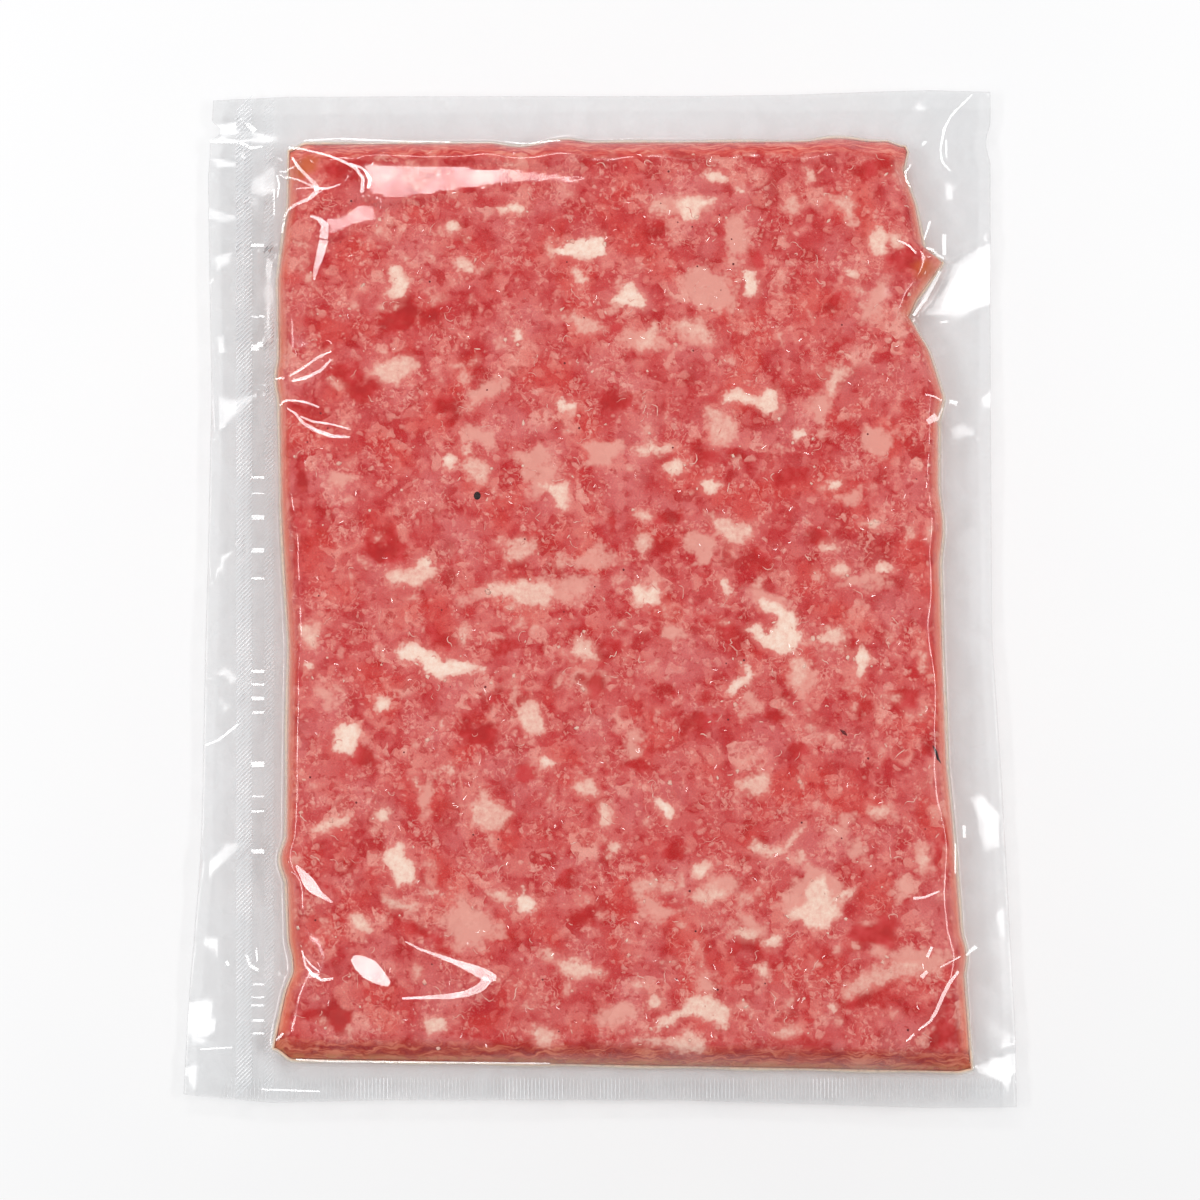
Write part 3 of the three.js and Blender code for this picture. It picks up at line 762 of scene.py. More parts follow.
def pucker_steps(runs, step):
    """Points and faces of closed steps along runs of places (x, y, width)."""
    stretches = []
    for run in runs:
        run = np.asarray(run, float)
        reach = np.concatenate([[0], np.cumsum(np.hypot(*np.diff(run[:, :2], axis=0).T))])
        count = max(1, math.ceil(reach[-1] / step))
        stops = np.linspace(0, reach[-1], count + 1)
        x, y, wide = [np.interp(stops, reach, run[:, k]) for k in range(3)]
        ahead = np.stack([np.gradient(x), np.gradient(y)], axis=-1)
        ahead /= np.linalg.norm(ahead, axis=1, keepdims=True)
        side = np.stack([-ahead[:, 1], ahead[:, 0]], axis=-1) * wide[:, None] / 2
        left = np.stack([x, y], axis=-1) + side
        right = np.stack([x, y], axis=-1) - side
        stretches.append(np.stack([right[:-1], right[1:], left[1:], left[:-1]], axis=1))
    corners = np.concatenate(stretches)
    base = film_height(corners[..., 0], corners[..., 1])
    middles = corners.mean(axis=1)
    slopes = np.array([shining_slope(x, y, z) for x, y, z in zip(*middles.T, base.mean(axis=1))])
    lean = np.einsum("ijk,ik->ij", corners - middles[:, None], slopes)
    lean += np.max(base - lean, axis=1, keepdims=True) + PUCKER_LIFT
    top = np.concatenate([corners, lean[..., None]], axis=-1)
    low = np.concatenate([corners, base[..., None] - PUCKER_LIFT], axis=-1)
    blocks = np.concatenate([low, top], axis=1)
    box = np.array([[3, 2, 1, 0], [4, 5, 6, 7], [0, 1, 5, 4], [1, 2, 6, 5], [2, 3, 7, 6], [3, 0, 4, 7]])
    faces = (box[None] + 8 * np.arange(len(blocks))[:, None, None]).reshape(-1, 4)
    return blocks.reshape(-1, 3), faces.tolist()


def laid_runs(runs):
    """Runs of the photo's pixels as places in millimetres on the film."""
    pixel_x, pixel_y, wide = np.transpose(np.concatenate(runs)).astype(float)
    x, y = seen_at(pixel_x, pixel_y, BLOCK_HEIGHT)
    for _ in range(2):
        x, y = seen_at(pixel_x, pixel_y, film_height(x, y))
    laid = np.stack([x, y, wide * PIXEL * PUCKER_FULLNESS], axis=-1)
    return np.split(laid, np.cumsum([len(run) for run in runs])[:-1])


def glint_runs():
    """Short runs strewn over the mince, more of them in some parts."""
    draw = np.random.default_rng(GLINT_SEED)
    runs = []
    while len(runs) < GLINT_COUNT:
        x, y = [draw.uniform(*field) for field in GLINT_FIELD]
        turn = draw.uniform(0, math.pi)
        length = draw.uniform(*GLINT_LENGTH)
        wide = draw.uniform(*GLINT_WIDTH)
        chance = draw.uniform(-1, 1)
        if ripples(x, y, *GLINT_RIPPLE) > chance and least_depth(x, y) > GLINT_MARGIN:
            dx = math.cos(turn) * length / 2
            dy = math.sin(turn) * length / 2
            bend = draw.uniform(-GLINT_BEND, GLINT_BEND)
            crest = (x - dy * bend, y + dx * bend, wide)
            runs.append([(x - dx, y - dy, wide / 2), crest, (x + dx, y + dy, wide / 3)])
    return runs


dash_runs = [[(DASH_COLUMNS[0], row, wide), (DASH_COLUMNS[1], row, wide)] for row, wide in SHINING_DASHES]
points, faces = pucker_steps(laid_runs(PUCKERS + dash_runs) + glint_runs(), PUCKER_STEP)
gathered_film = film_material("gathered_film", 0.0, GATHERED_DENSITY)
puckers = new_piece("film_puckers", points, faces, gathered_film)
puckers.data.shade_flat()
mark_points(puckers, "sealed", np.zeros(len(points)))


# ---- The block of mince ----
# Raw meat put through a coarse mincer and pressed into a slab: pink and red lean in soft pieces, ragged
# chips of cream fat, and the lacy pale threads that hold them. The vacuum packs it into one piece.

MINCE_CELL = 0.8
MINCE_GAP = 0.3
MINCE_INSET = 0.35
LEAST_THICKNESS = 0.05
UNDERSIDE_EVERY = 3
FAT_RISE = 0.06                          # how far fat stands out, and over what width it rises
FAT_RISE_WIDTH = 0.8
FAT_SEARCH = 3.0                         # how far outside a chip its nearness is still known
CHIP_SIDES = (5, 9)                      # fewest sides of a small chip, and one more than the most
CHIP_SKEW = 0.36                         # how far its sides face from evenly
CHIP_STAND = (0.72, 1.0)                 # how far out they stand
CHIP_MARGIN = 4
# Size, reach and seed of what makes the edges of chips and of soft patches ragged.
CHIP_SHAKE = [(2.2, 0.45, 71), (1.1, 0.25, 73)]
PATCH_SHAKE = [(6.0, 2.4, 81), (2.6, 1.1, 83)]
PATCH_SEEDS = {"small fat": 5, "pale": 3, "lean": 4, "browned": 6}
GROOVE_DEPTH = 0.16
GROOVE_PITCH = 1.5
GROOVES_AT = 3.6                         # their distance from an end, and how far they spread
GROOVES_SPREAD = 3.2
GROOVE_SWAYS = [(1.1, 13.0, 0), (0.7, 5.1, 1)]        # reach, length and phase

# Chips of fat by how creamy they are, from 1 down to 0: each is its corners in the photo's pixels.
# One chip, at 0.5, is a painted highlight: a glint of the film laid in as pale fat.
FAT_CHIPS_AND_PAINTED_GLINT = {
    1.0: [
        [(553, 404), (560, 400), (580, 405), (575, 410), (562, 411)],
        [(553, 250), (562, 243), (590, 238), (604, 234), (606, 246), (603, 257), (588, 259), (560, 256)],
        [(394, 652), (408, 643), (420, 645), (445, 662), (462, 660), (483, 671), (460, 675), (440, 679),
         (425, 675), (420, 664), (402, 660)],
        [(333, 737), (338, 726), (356, 723), (360, 735), (354, 752), (345, 754), (332, 752)],
        [(533, 759), (544, 756), (556, 763), (552, 769), (540, 766)],
        [(739, 660), (748, 664), (755, 674), (742, 688), (735, 694), (725, 693), (733, 683), (747, 672)],
        [(514, 896), (524, 889), (528, 897), (536, 903), (534, 912), (520, 913)],
        [(652, 802), (660, 797), (667, 803), (675, 805), (674, 818), (668, 822), (662, 812)],
    ],
    0.95: [
        [(441, 457), (450, 453), (456, 460), (452, 468), (442, 466)],
        [(372, 705), (378, 698), (390, 700), (388, 710), (378, 713)],
    ],
    0.9: [
        [(617, 292), (622, 284), (634, 283), (646, 299), (644, 310), (622, 308), (606, 300)],
        [(741, 268), (752, 269), (759, 282), (759, 295), (744, 296)],
        [(702, 173), (712, 170), (730, 176), (728, 180), (708, 182)],
        [(795, 430), (804, 425), (808, 434), (800, 441), (794, 438)],
        [(436, 716), (444, 717), (448, 722), (442, 725)],
        [(718, 577), (728, 579), (731, 590), (727, 597), (722, 588)],
        [(757, 600), (770, 598), (795, 612), (797, 628), (805, 636), (797, 650), (782, 656), (768, 652),
         (756, 640), (744, 630), (756, 624), (766, 632), (776, 628), (776, 616), (762, 612)],
        [(853, 655), (862, 646), (870, 655), (866, 670), (861, 682), (855, 672)],
        [(382, 860), (386, 848), (402, 840), (406, 858), (414, 868), (418, 884), (396, 887), (390, 872)],
        [(736, 187), (744, 186), (747, 192), (740, 194)], [(302, 664), (310, 662), (314, 668), (308, 672)],
        [(828, 1008), (833, 1004), (837, 1009), (831, 1013)],
    ],
    0.85: [
        [(720, 403), (725, 394), (738, 388), (757, 399), (768, 388), (778, 389), (777, 410), (770, 416),
         (748, 403)], [(414, 560), (422, 554), (430, 557), (434, 566), (426, 569), (416, 568)],
        [(632, 588), (640, 584), (647, 591), (654, 584), (662, 590), (660, 602), (648, 609), (636, 604)],
        [(512, 337), (517, 325), (523, 330), (522, 340), (512, 343)],
    ],
    0.8: [
        [(388, 268), (399, 263), (410, 285), (404, 297), (390, 299), (385, 294), (392, 283)],
        [(675, 200), (690, 196), (722, 199), (700, 210), (698, 219), (683, 221)],
        [(662, 468), (676, 459), (688, 462), (683, 474), (672, 476)],
        [(700, 482), (712, 478), (722, 485), (714, 494), (702, 492)],
        [(873, 569), (880, 563), (890, 566), (896, 571), (884, 574)],
        [(444, 228), (450, 220), (458, 222), (460, 230), (450, 233)],
        [(495, 208), (508, 204), (518, 202), (530, 213), (514, 214), (500, 213)],
        [(843, 270), (854, 270), (862, 278), (850, 279)],
        [(828, 482), (846, 478), (842, 486), (834, 493), (828, 490)],
    ],
    0.75: [
        [(540, 485), (556, 483), (568, 482), (567, 511), (556, 508), (550, 496)],
        [(690, 870), (700, 862), (712, 863), (708, 876), (696, 880)],
        [(804, 893), (812, 883), (826, 874), (833, 897), (857, 888), (850, 897), (836, 903), (840, 915),
         (830, 926), (812, 930), (800, 920), (783, 921), (792, 908), (808, 902)],
        [(762, 942), (779, 933), (780, 943), (773, 949), (765, 948)],
        [(652, 1030), (662, 1018), (678, 1012), (690, 998), (706, 994), (731, 1008), (724, 1029),
         (708, 1020), (690, 1018), (672, 1026)],
        [(374, 816), (382, 806), (390, 812), (388, 820), (378, 822)],
    ],
    0.7: [
        [(348, 917), (354, 911), (364, 918), (372, 931), (366, 934), (352, 926)],
        [(599, 803), (606, 802), (611, 815), (608, 826), (600, 826)],
        [(648, 1001), (655, 994), (663, 1001), (659, 1010), (651, 1008)],
        [(422, 1023), (436, 1017), (448, 1022), (444, 1031), (430, 1034)],
        [(570, 270), (578, 268), (588, 280), (582, 287), (574, 280)],
        [(868, 243), (872, 232), (882, 228), (888, 238), (886, 250), (880, 258), (872, 252)],
        [(862, 524), (872, 519), (880, 523), (876, 529)], [(411, 778), (418, 776), (420, 795), (413, 788)],
        [(442, 766), (452, 764), (454, 774), (447, 772)],
        [(607, 850), (614, 843), (620, 846), (614, 855), (608, 857)],
        [(757, 968), (766, 966), (768, 980), (760, 978)],
    ],
    0.65: [
        [(632, 448), (645, 444), (672, 446), (665, 454), (640, 457)],
        [(632, 511), (642, 510), (652, 517), (644, 524)],
        [(313, 832), (322, 822), (336, 818), (347, 815), (348, 823), (334, 828), (322, 836)],
    ],
    0.6: [
        [(460, 452), (468, 445), (473, 452), (468, 459)],
        [(383, 575), (395, 571), (410, 571), (418, 563), (438, 570), (428, 580), (418, 589), (404, 583),
         (388, 588)],
        [(482, 588), (490, 582), (530, 581), (552, 585), (556, 598), (546, 606), (522, 607), (510, 598),
         (486, 597)], [(568, 655), (578, 640), (586, 638), (600, 660), (586, 661)],
        [(516, 710), (524, 702), (536, 704), (547, 728), (542, 735), (524, 735), (518, 722)],
        [(822, 543), (833, 540), (841, 547), (834, 555), (824, 552)],
        [(828, 568), (838, 563), (850, 568), (846, 577), (834, 575)],
        [(818, 638), (828, 630), (843, 626), (846, 640), (834, 647), (822, 643)],
        [(573, 788), (580, 780), (590, 779), (599, 790), (598, 800), (584, 798)],
        [(748, 846), (758, 842), (770, 848), (784, 846), (803, 823), (807, 828), (785, 853), (770, 858),
         (754, 853)], [(797, 848), (804, 850), (807, 858), (800, 866)],
        [(733, 934), (740, 927), (762, 932), (754, 942), (742, 941)],
        [(632, 983), (640, 980), (647, 986), (640, 991)],
        [(452, 262), (462, 258), (472, 264), (476, 272), (466, 277), (458, 270)],
        [(802, 165), (812, 170), (817, 178), (808, 180)],
        [(889, 240), (893, 231), (901, 236), (902, 246), (893, 248)],
        [(422, 889), (434, 890), (440, 895), (428, 896)],
        [(558, 962), (572, 958), (606, 974), (604, 979), (580, 978), (562, 975)],
    ],
    0.55: [
        [(708, 520), (722, 516), (735, 523), (755, 527), (752, 537), (740, 546), (722, 538)],
    ],
    0.5: [
        [(458, 630), (465, 622), (470, 632), (466, 645), (460, 648)],
        [(382, 893), (400, 901), (418, 903), (416, 912), (388, 909)],
        [(488, 893), (500, 888), (514, 896), (512, 903), (496, 901)],
        [(735, 785), (745, 777), (768, 772), (770, 785), (764, 800), (752, 797)],
        [(684, 895), (700, 890), (715, 886), (732, 892), (722, 900), (705, 906)],
        [(630, 1040), (645, 1036), (668, 1042), (685, 1033), (700, 1034), (706, 1046), (700, 1056),
         (680, 1054)], [(530, 1035), (534, 1025), (555, 1032), (560, 1042), (548, 1046), (536, 1044)],
        [(368, 375), (376, 363), (395, 358), (410, 357), (418, 366), (404, 377), (396, 385), (384, 382)],
        [(632, 345), (642, 335), (654, 322), (660, 330), (654, 345), (640, 350)],
        [(852, 286), (864, 287), (866, 294), (856, 294)],
        [(832, 368), (842, 365), (852, 372), (845, 378), (838, 390), (828, 398), (826, 385)],
        [(638, 535), (645, 532), (650, 545), (644, 556), (636, 548)],
        [(906, 528), (913, 529), (915, 536), (908, 538)], [(918, 650), (926, 652), (927, 668), (921, 672)],
        # Painted highlight: this chip is a glint of the film, laid in as pale fat.
        [(298, 628), (310, 623), (318, 633), (316, 650), (306, 648)],
        [(866, 806), (878, 808), (893, 804), (890, 814), (876, 819)],
        [(540, 952), (548, 947), (556, 953), (552, 960), (544, 958)],
    ],
    0.45: [
        [(460, 466), (470, 459), (482, 462), (489, 472), (484, 484), (474, 482)],
        [(468, 802), (478, 801), (480, 787), (490, 798), (512, 815), (506, 825), (490, 832), (474, 826)],
    ],
    0.4: [
        [(648, 205), (660, 202), (673, 208), (664, 214), (650, 212)],
        [(503, 552), (507, 541), (520, 537), (533, 539), (536, 550), (526, 560), (508, 562)],
        [(788, 660), (800, 655), (808, 665), (806, 683), (798, 696), (792, 690)],
        [(672, 325), (685, 318), (700, 325), (715, 335), (708, 346), (694, 340)],
        [(820, 197), (840, 199), (850, 194), (856, 206), (852, 225), (846, 222), (842, 208)],
        [(918, 855), (925, 845), (930, 860), (924, 875), (916, 868)],
    ],
    0.35: [
        [(705, 405), (722, 408), (738, 424), (735, 440), (712, 445)],
        [(560, 315), (575, 312), (590, 318), (606, 330), (592, 337), (578, 328)],
    ],
    0.3: [
        [(842, 990), (850, 980), (870, 970), (895, 962), (922, 962), (925, 972), (880, 985), (846, 1000)],
        [(772, 1033), (785, 1025), (802, 1028), (796, 1038), (780, 1040)],
        [(780, 205), (795, 195), (805, 205), (798, 213), (784, 212)],
    ],
    0.25: [
        [(630, 890), (636, 880), (655, 878), (672, 885), (680, 893), (650, 892), (640, 904)],
    ],
}
# Soft patches as x, y, length and width in the photo's pixels, and turn in degrees from level.
PALE_SMEARS = [
    (690, 202, 90, 26, 0), (740, 230, 34, 46, 0), (644, 338, 56, 26, 14), (696, 331, 40, 26, 10),
    (387, 372, 42, 28, 8), (878, 296, 30, 52, 35), (723, 428, 34, 32, 20), (702, 552, 34, 30, 0),
    (590, 560, 70, 26, 0), (480, 596, 40, 22, 0), (673, 630, 36, 22, 0), (770, 600, 60, 30, 30),
    (800, 674, 26, 44, 10), (639, 748, 26, 32, 0), (750, 700, 30, 20, 0), (656, 916, 52, 26, 0),
    (720, 893, 44, 26, 0), (815, 900, 70, 64, 15), (910, 960, 90, 40, 12), (567, 967, 44, 20, 0),
    (619, 1019, 54, 26, -8), (750, 932, 40, 24, 20), (700, 982, 34, 18, 30), (838, 833, 18, 42, 32),
    (880, 810, 28, 16, 0), (923, 856, 20, 34, 0), (900, 885, 40, 24, 0), (330, 700, 40, 26, 40),
    (590, 680, 50, 30, 0), (480, 440, 34, 30, 0), (820, 410, 30, 44, 10), (880, 440, 40, 40, 0),
    (850, 500, 40, 20, 0), (600, 450, 50, 40, 0), (340, 480, 30, 26, 0), (430, 800, 24, 40, 0),
    (560, 590, 60, 30, 10), (540, 480, 40, 30, 0), (860, 580, 60, 20, 0), (860, 850, 40, 24, 0),
    (530, 460, 50, 40, 0), (470, 925, 60, 40, 20), (710, 290, 50, 50, 0), (480, 390, 40, 30, 0),
]
DEEP_LEAN_AND_CREASE_SHADE = [
    (655, 228, 34, 18, 0), (690, 163, 44, 14, 10), (762, 253, 34, 28, 0), (614, 331, 24, 18, 0),
    (489, 268, 16, 20, 0), (436, 313, 26, 42, 0), (336, 170, 46, 26, -12), (876, 164, 60, 24, 0),
    (906, 256, 34, 24, 10), (835, 350, 34, 12, -28), (820, 372, 16, 40, 20), (836, 306, 30, 26, 0),
    (372, 546, 40, 26, 0), (398, 550, 44, 34, 10), (448, 405, 24, 40, -20), (455, 427, 18, 16, 0),
    (441, 634, 38, 26, 40), (355, 385, 60, 34, 14), (362, 368, 16, 30, 0), (673, 514, 36, 28, 0),
    (612, 527, 18, 30, 15), (668, 547, 34, 26, 0), (765, 560, 40, 22, 24), (764, 588, 46, 7, 14),
    (724, 622, 46, 22, 40), (610, 652, 28, 26, 0), (702, 456, 30, 18, 0), (736, 455, 22, 20, 0),
    (593, 683, 30, 30, 0), (700, 728, 38, 34, 0), (702, 702, 22, 14, 0), (518, 777, 34, 28, 0),
    (679, 853, 26, 24, 0), (583, 924, 28, 28, 0), (752, 952, 60, 24, 10), (858, 708, 20, 24, 0),
    (796, 753, 28, 22, 0), (942, 839, 14, 34, 0), (932, 750, 22, 26, 0), (360, 760, 30, 28, 0),
    (356, 861, 18, 22, 0), (598, 1042, 50, 12, 0), (872, 930, 60, 44, -20), (862, 1004, 56, 22, 0),
    # Two strips, at (325, 880) and (430, 935), are painted shade along the crease at the lower left corner.
    (888, 992, 76, 9, -8), (333, 1020, 66, 46, 20), (430, 935, 110, 14, 28), (325, 880, 50, 9, 36),
    (820, 540, 30, 24, 0), (850, 430, 36, 26, 0), (790, 470, 40, 26, 0), (620, 400, 40, 22, 0),
    (900, 700, 34, 34, 0), (505, 650, 36, 20, 0), (478, 735, 56, 44, 10), (660, 690, 40, 20, 0),
    (560, 880, 50, 26, 0), (500, 1040, 110, 14, 0), (800, 1050, 140, 14, 3), (945, 1030, 28, 50, 20),
    (600, 160, 80, 12, 0), (290, 535, 14, 50, 0), (298, 478, 20, 44, 0), (500, 700, 30, 16, 30),
    (780, 715, 40, 26, 0), (400, 312, 60, 40, 0), (330, 345, 30, 22, 40), (640, 770, 40, 26, 0),
]
BROWNED = [(302, 164, 34, 30, 0), (928, 266, 28, 22, 0)]
SMALL_FAT_COUNT = 200
SMALL_FAT_SEED = 77
SMALL_FAT_FIELD = ((-78, 84), (-114, 110))
SMALL_FAT_WIDTHS = {0.9: 0.5, 1.3: 0.35, 1.9: 0.15}   # how common each width is
SMALL_FAT_STRETCH = (1, 2.4)
SMALL_FAT_CREAM = 0.35
MEAT_SHINE = 0.2
LIGHT_ON_MEAT = 0.93                     # what the film and the studio leave of a surface's own colour
VEIL_ON_MEAT = 0.018                     # what the film adds

# Colours as the photo shows them, each with its place on a run from 0 to 1.
CLOUD_TONES = [(0.3, 180, 26, 36), (0.41, 195, 60, 62), (0.5, 205, 86, 84), (0.58, 213, 104, 100),
               (0.7, 227, 136, 126)]
LEAN_TONES = [(0.0, 178, 4, 20), (0.16, 190, 34, 42), (0.32, 201, 68, 68), (0.5, 207, 90, 88),
              (0.68, 212, 103, 99), (0.84, 224, 128, 118), (1.0, 237, 170, 156)]
GRAIN_TONES = [(0.0, 190, 48, 52), (0.3, 212, 98, 92), (0.65, 234, 148, 135), (1.0, 246, 196, 180)]
CRIMSON_TONES = [(0.36, 176, 0, 10), (0.5, 190, 16, 28), (0.64, 206, 62, 64)]
UPPER_TONES = [(0.34, 196, 38, 38), (0.5, 226, 84, 72), (0.68, 246, 152, 132)]
LOWER_TONES = [(0.34, 148, 34, 26), (0.5, 180, 68, 50), (0.66, 214, 126, 98)]
FAT_TONES = [(0.3, 224, 150, 138), (0.44, 234, 176, 161), (0.58, 241, 198, 181), (0.72, 247, 217, 199),
             (0.88, 252, 233, 218)]
ORANGE_LEAN = (214, 70, 62)
PINK_LEAN = (218, 122, 120)
# Painted shade: the deep red that darkens the crevices between pieces.
CREVICE_SHADE_RED = (184, 36, 42)
LACE_PINK = (242, 174, 160)
SMEAR_PINK = (234, 168, 154)
SIDE_ORANGE = (232, 116, 84)
SIDE_CREAM = (248, 194, 160)
LOWER_RIM_BROWN = (196, 122, 84)
BROWNED_TONE = (206, 100, 56)
ROUND_FAT_PINK = (230, 146, 134)
FAT_RIM_PINK = (232, 160, 146)

# Size, share, softness and strength of each layer of pieces of lean, and of the grains between them.
LEAN_LAYERS = [(8.2, 0.74, 0.3, 0.85), (4.3, 0.6, 0.36, 0.75), (2.2, 0.45, 0.42, 0.6)]
GRAIN_LAYERS = [(1.5, 0.42), (0.8, 0.36)]
GRAIN_SOFTNESS = 0.55
LACE_HALF = 0.034
LACE_STRENGTH = 0.5
LACE_PLACES = (0.44, 0.62)

# Size, detail and roughness of each soft noise.
LEAN_CLOUD = (6.5, 2, 0.62)
WARM_CLOUD = (15, 2, 0.5)
CRUMBLY_CLOUD = (8.5, 2, 0.55)
CREVICE_SHADE_NOISE = (1.9, 2, 0.55)
LACE_NOISE = (2.8, 2, 0.5)
SPECKLE_NOISE = (0.42, 1, 0.5)
EDGE_MOTTLE = (2.6, 2, 0.6)
STREAK_NOISE = (0.9, 2, 0.6)
FAT_MOTTLE = (1.5, 3, 0.68)
RAGGED_NOISE = (2.4, 2, 0.75)
LEAN_BEND = (4.2, 4.6, 2)                # size, reach and detail of what bends the pieces, and the lace
LACE_BEND = (2.6, 1.6, 1)
STREAK_STRETCH = (0.12, 1.0, 1.0)

# What each effect follows, from and to, and its own strength at those two.
ORANGE_FADE = (0.5, 0.72, 0.0, 0.5)
PINK_FADE = (0.48, 0.28, 0.0, 0.5)
CREVICE_SHADE_FADE = (0.42, 0.26, 0.0, 0.6)
GRAIN_FADE = (0.42, 0.64, 0.08, 0.5)
SPECKLE_FADE = (0.28, 0.72, 0.94, 1.06)
SMEAR_FADE = (-0.9, 2.0, 0.0, 0.8)
CRIMSON_FADE = (-0.9, 1.7, 0.0, 0.9)
BROWNED_FADE = (-1.4, 1.8, 0.0, 0.85)
SIDE_ORANGE_FADE = (2.0, 5.0, 0.9, 0.0)
SIDE_SPOTS_FADE = (0.3, 0.5, 0.7, 1.0)
SIDE_CREAM_FADE = (1.5, 2.8, 0.85, 0.0)
RIM_SPOTS_FADE = (0.38, 0.6, 0.3, 1.0)
UPPER_END_FADE = (3.6, 6.8, 0.75, 0.0)
LOWER_END_FADE = (3.0, 6.0, 0.8, 0.0)
LOWER_RIM_FADE = (0.6, 2.2, 0.85, 0.0)
ROUND_FAT_FADE = (-1.8, 0.2, 0.0, 0.35)
FAT_RIM_FADE = (-0.2, 1.2, 0.55, 0.0)
FAT_COVER_FADE = (0.2, 0.9, 0.78, 0.94)
# How far the ragged noise moves the edge of each patch. Creamy fat has the crisper edge.
SMEAR_RAGGED = 6.0
CRIMSON_RAGGED = 4.6
BROWNED_RAGGED = 2.0
SIDE_RAGGED = 3.0
FAT_RAGGED = (0.2, 1.0, 6.0, 3.8)
FAT_SOFTNESS = (0.2, 1.0, 1.2, 0.58)
FAT_CREAM_SHARES = (0.46, 0.62)          # of its cream tone, from its own creaminess and from its mottle
MEAT_ROUGHNESS = (0.3, 0.7, 0.42, 0.62)
MEAT_BUMP = (0.3, 0.0003)                # strength and height
FAT_BUMP_SHARE = 0.25


def placed(pieces):
    """Pieces in the photo's pixels, as places in millimetres."""
    found = []
    for pixel_x, pixel_y, length, width, degrees in pieces:
        x, y = seen_at(pixel_x, pixel_y, BLOCK_HEIGHT)
        found.append((float(x), float(y), length * PIXEL, width * PIXEL, -math.radians(degrees)))
    return found


def scattered_fat():
    """Small bits of fat strewn between the larger ones."""
    draw = np.random.default_rng(SMALL_FAT_SEED)
    bits = []
    for _ in range(SMALL_FAT_COUNT):
        width = draw.choice(list(SMALL_FAT_WIDTHS), p=list(SMALL_FAT_WIDTHS.values()))
        x, y = [draw.uniform(*field) for field in SMALL_FAT_FIELD]
        length = width * draw.uniform(*SMALL_FAT_STRETCH)
        bits.append((x, y, length, width, draw.uniform(0, math.pi)))
    return bits


def shaken(x, y, shakes):
    """(x, y) pushed to and fro, which makes outlines ragged."""
    out_x, out_y = x, y
    for size, reach, seed in shakes:
        out_x = out_x + reach * ripples(x, y, size, seed)
        out_y = out_y + reach * ripples(x, y, size, seed + 1)
    return out_x, out_y


def depth_in(x, y, pieces, seed):
    """How deep (x, y) lies inside the nearest of some broken pieces; less than 0 outside."""
    draw = np.random.default_rng(seed)
    depth = np.full(np.shape(x), -FAT_SEARCH)
    for middle_x, middle_y, length, width, turn in pieces:
        count = draw.integers(*CHIP_SIDES)
        facing = (np.arange(count) + draw.uniform(-CHIP_SKEW, CHIP_SKEW, count)) * 2 * math.pi / count
        out = draw.uniform(*CHIP_STAND, count)
        reach = max(length, width) / 2 + CHIP_MARGIN
        near = (np.abs(x - middle_x) < reach) & (np.abs(y - middle_y) < reach)
        dx = x[near] - middle_x
        dy = y[near] - middle_y
        along = (dx * math.cos(turn) + dy * math.sin(turn)) / (length / 2)
        across = (dy * math.cos(turn) - dx * math.sin(turn)) / (width / 2)
        away = np.max([(along * math.cos(side) + across * math.sin(side)) / stand
                       for side, stand in zip(facing, out)], axis=0)
        depth[near] = np.maximum(depth[near], (1 - away) * min(length, width) / 2)
    return depth


small_pieces = scattered_fat()
chip_and_glint_loops = []
for creaminess, chips in FAT_CHIPS_AND_PAINTED_GLINT.items():
    for corners in chips:
        corner_x, corner_y = seen_at(*np.transpose(corners), BLOCK_HEIGHT)
        chip_and_glint_loops.append((creaminess, list(zip(corner_x, corner_y))))


def fat_and_glint_at(x, y):
    """How deep (x, y) lies in any fat, the painted glint among it too, and how creamy that is."""
    x, y = shaken(np.asarray(x, float), np.asarray(y, float), CHIP_SHAKE)
    depth = depth_in(x, y, small_pieces, PATCH_SEEDS["small fat"])
    creamy = np.full(depth.shape, SMALL_FAT_CREAM)
    for creaminess, corners in chip_and_glint_loops:
        low = np.min(corners, axis=0) - FAT_SEARCH
        high = np.max(corners, axis=0) + FAT_SEARCH
        near = np.nonzero((x > low[0]) & (x < high[0]) & (y > low[1]) & (y < high[1]))
        inside = depth_in_loop(x[near], y[near], corners)
        deeper = inside > depth[near]
        depth[near] = np.where(deeper, inside, depth[near])
        creamy[near] = np.where(deeper, creaminess, creamy[near])
    return depth, creamy


def mince_top(x, y):
    """Height of the mince's top: fat stands out of it, and grooves run along its two ends."""
    inside = depths_inside(x, y, outline_at(BLOCK, x, y, MINCE_INSET))
    end = np.minimum(inside["top"], inside["bottom"])
    sway = sum(reach * np.sin(x / length + phase) for reach, length, phase in GROOVE_SWAYS)
    groove = GROOVE_DEPTH * np.sin(2 * math.pi * (end + sway) / GROOVE_PITCH)
    groove = groove * hump((end - GROOVES_AT) / GROOVES_SPREAD)
    fat = FAT_RISE * np.clip(fat_and_glint_at(x, y)[0] / FAT_RISE_WIDTH + 0.3, 0, 1)
    return top_form(x, y, MINCE_INSET) - MINCE_GAP + (fat + groove) * np.clip(end, 0, 1)


def warped(tree, place, size, reach, detail):
    """A place shifted to and fro by soft noise."""
    cloud = noise(tree, place, size, detail, 0.5, "Color")
    shift = node(tree, "VectorMath", {0: cloud, 1: (0.5, 0.5, 0.5)}, operation="SUBTRACT").outputs[0]
    far = node(tree, "VectorMath", {0: shift, 3: reach}, operation="SCALE").outputs[0]
    return node(tree, "VectorMath", {0: place, 1: far}, operation="ADD").outputs[0]


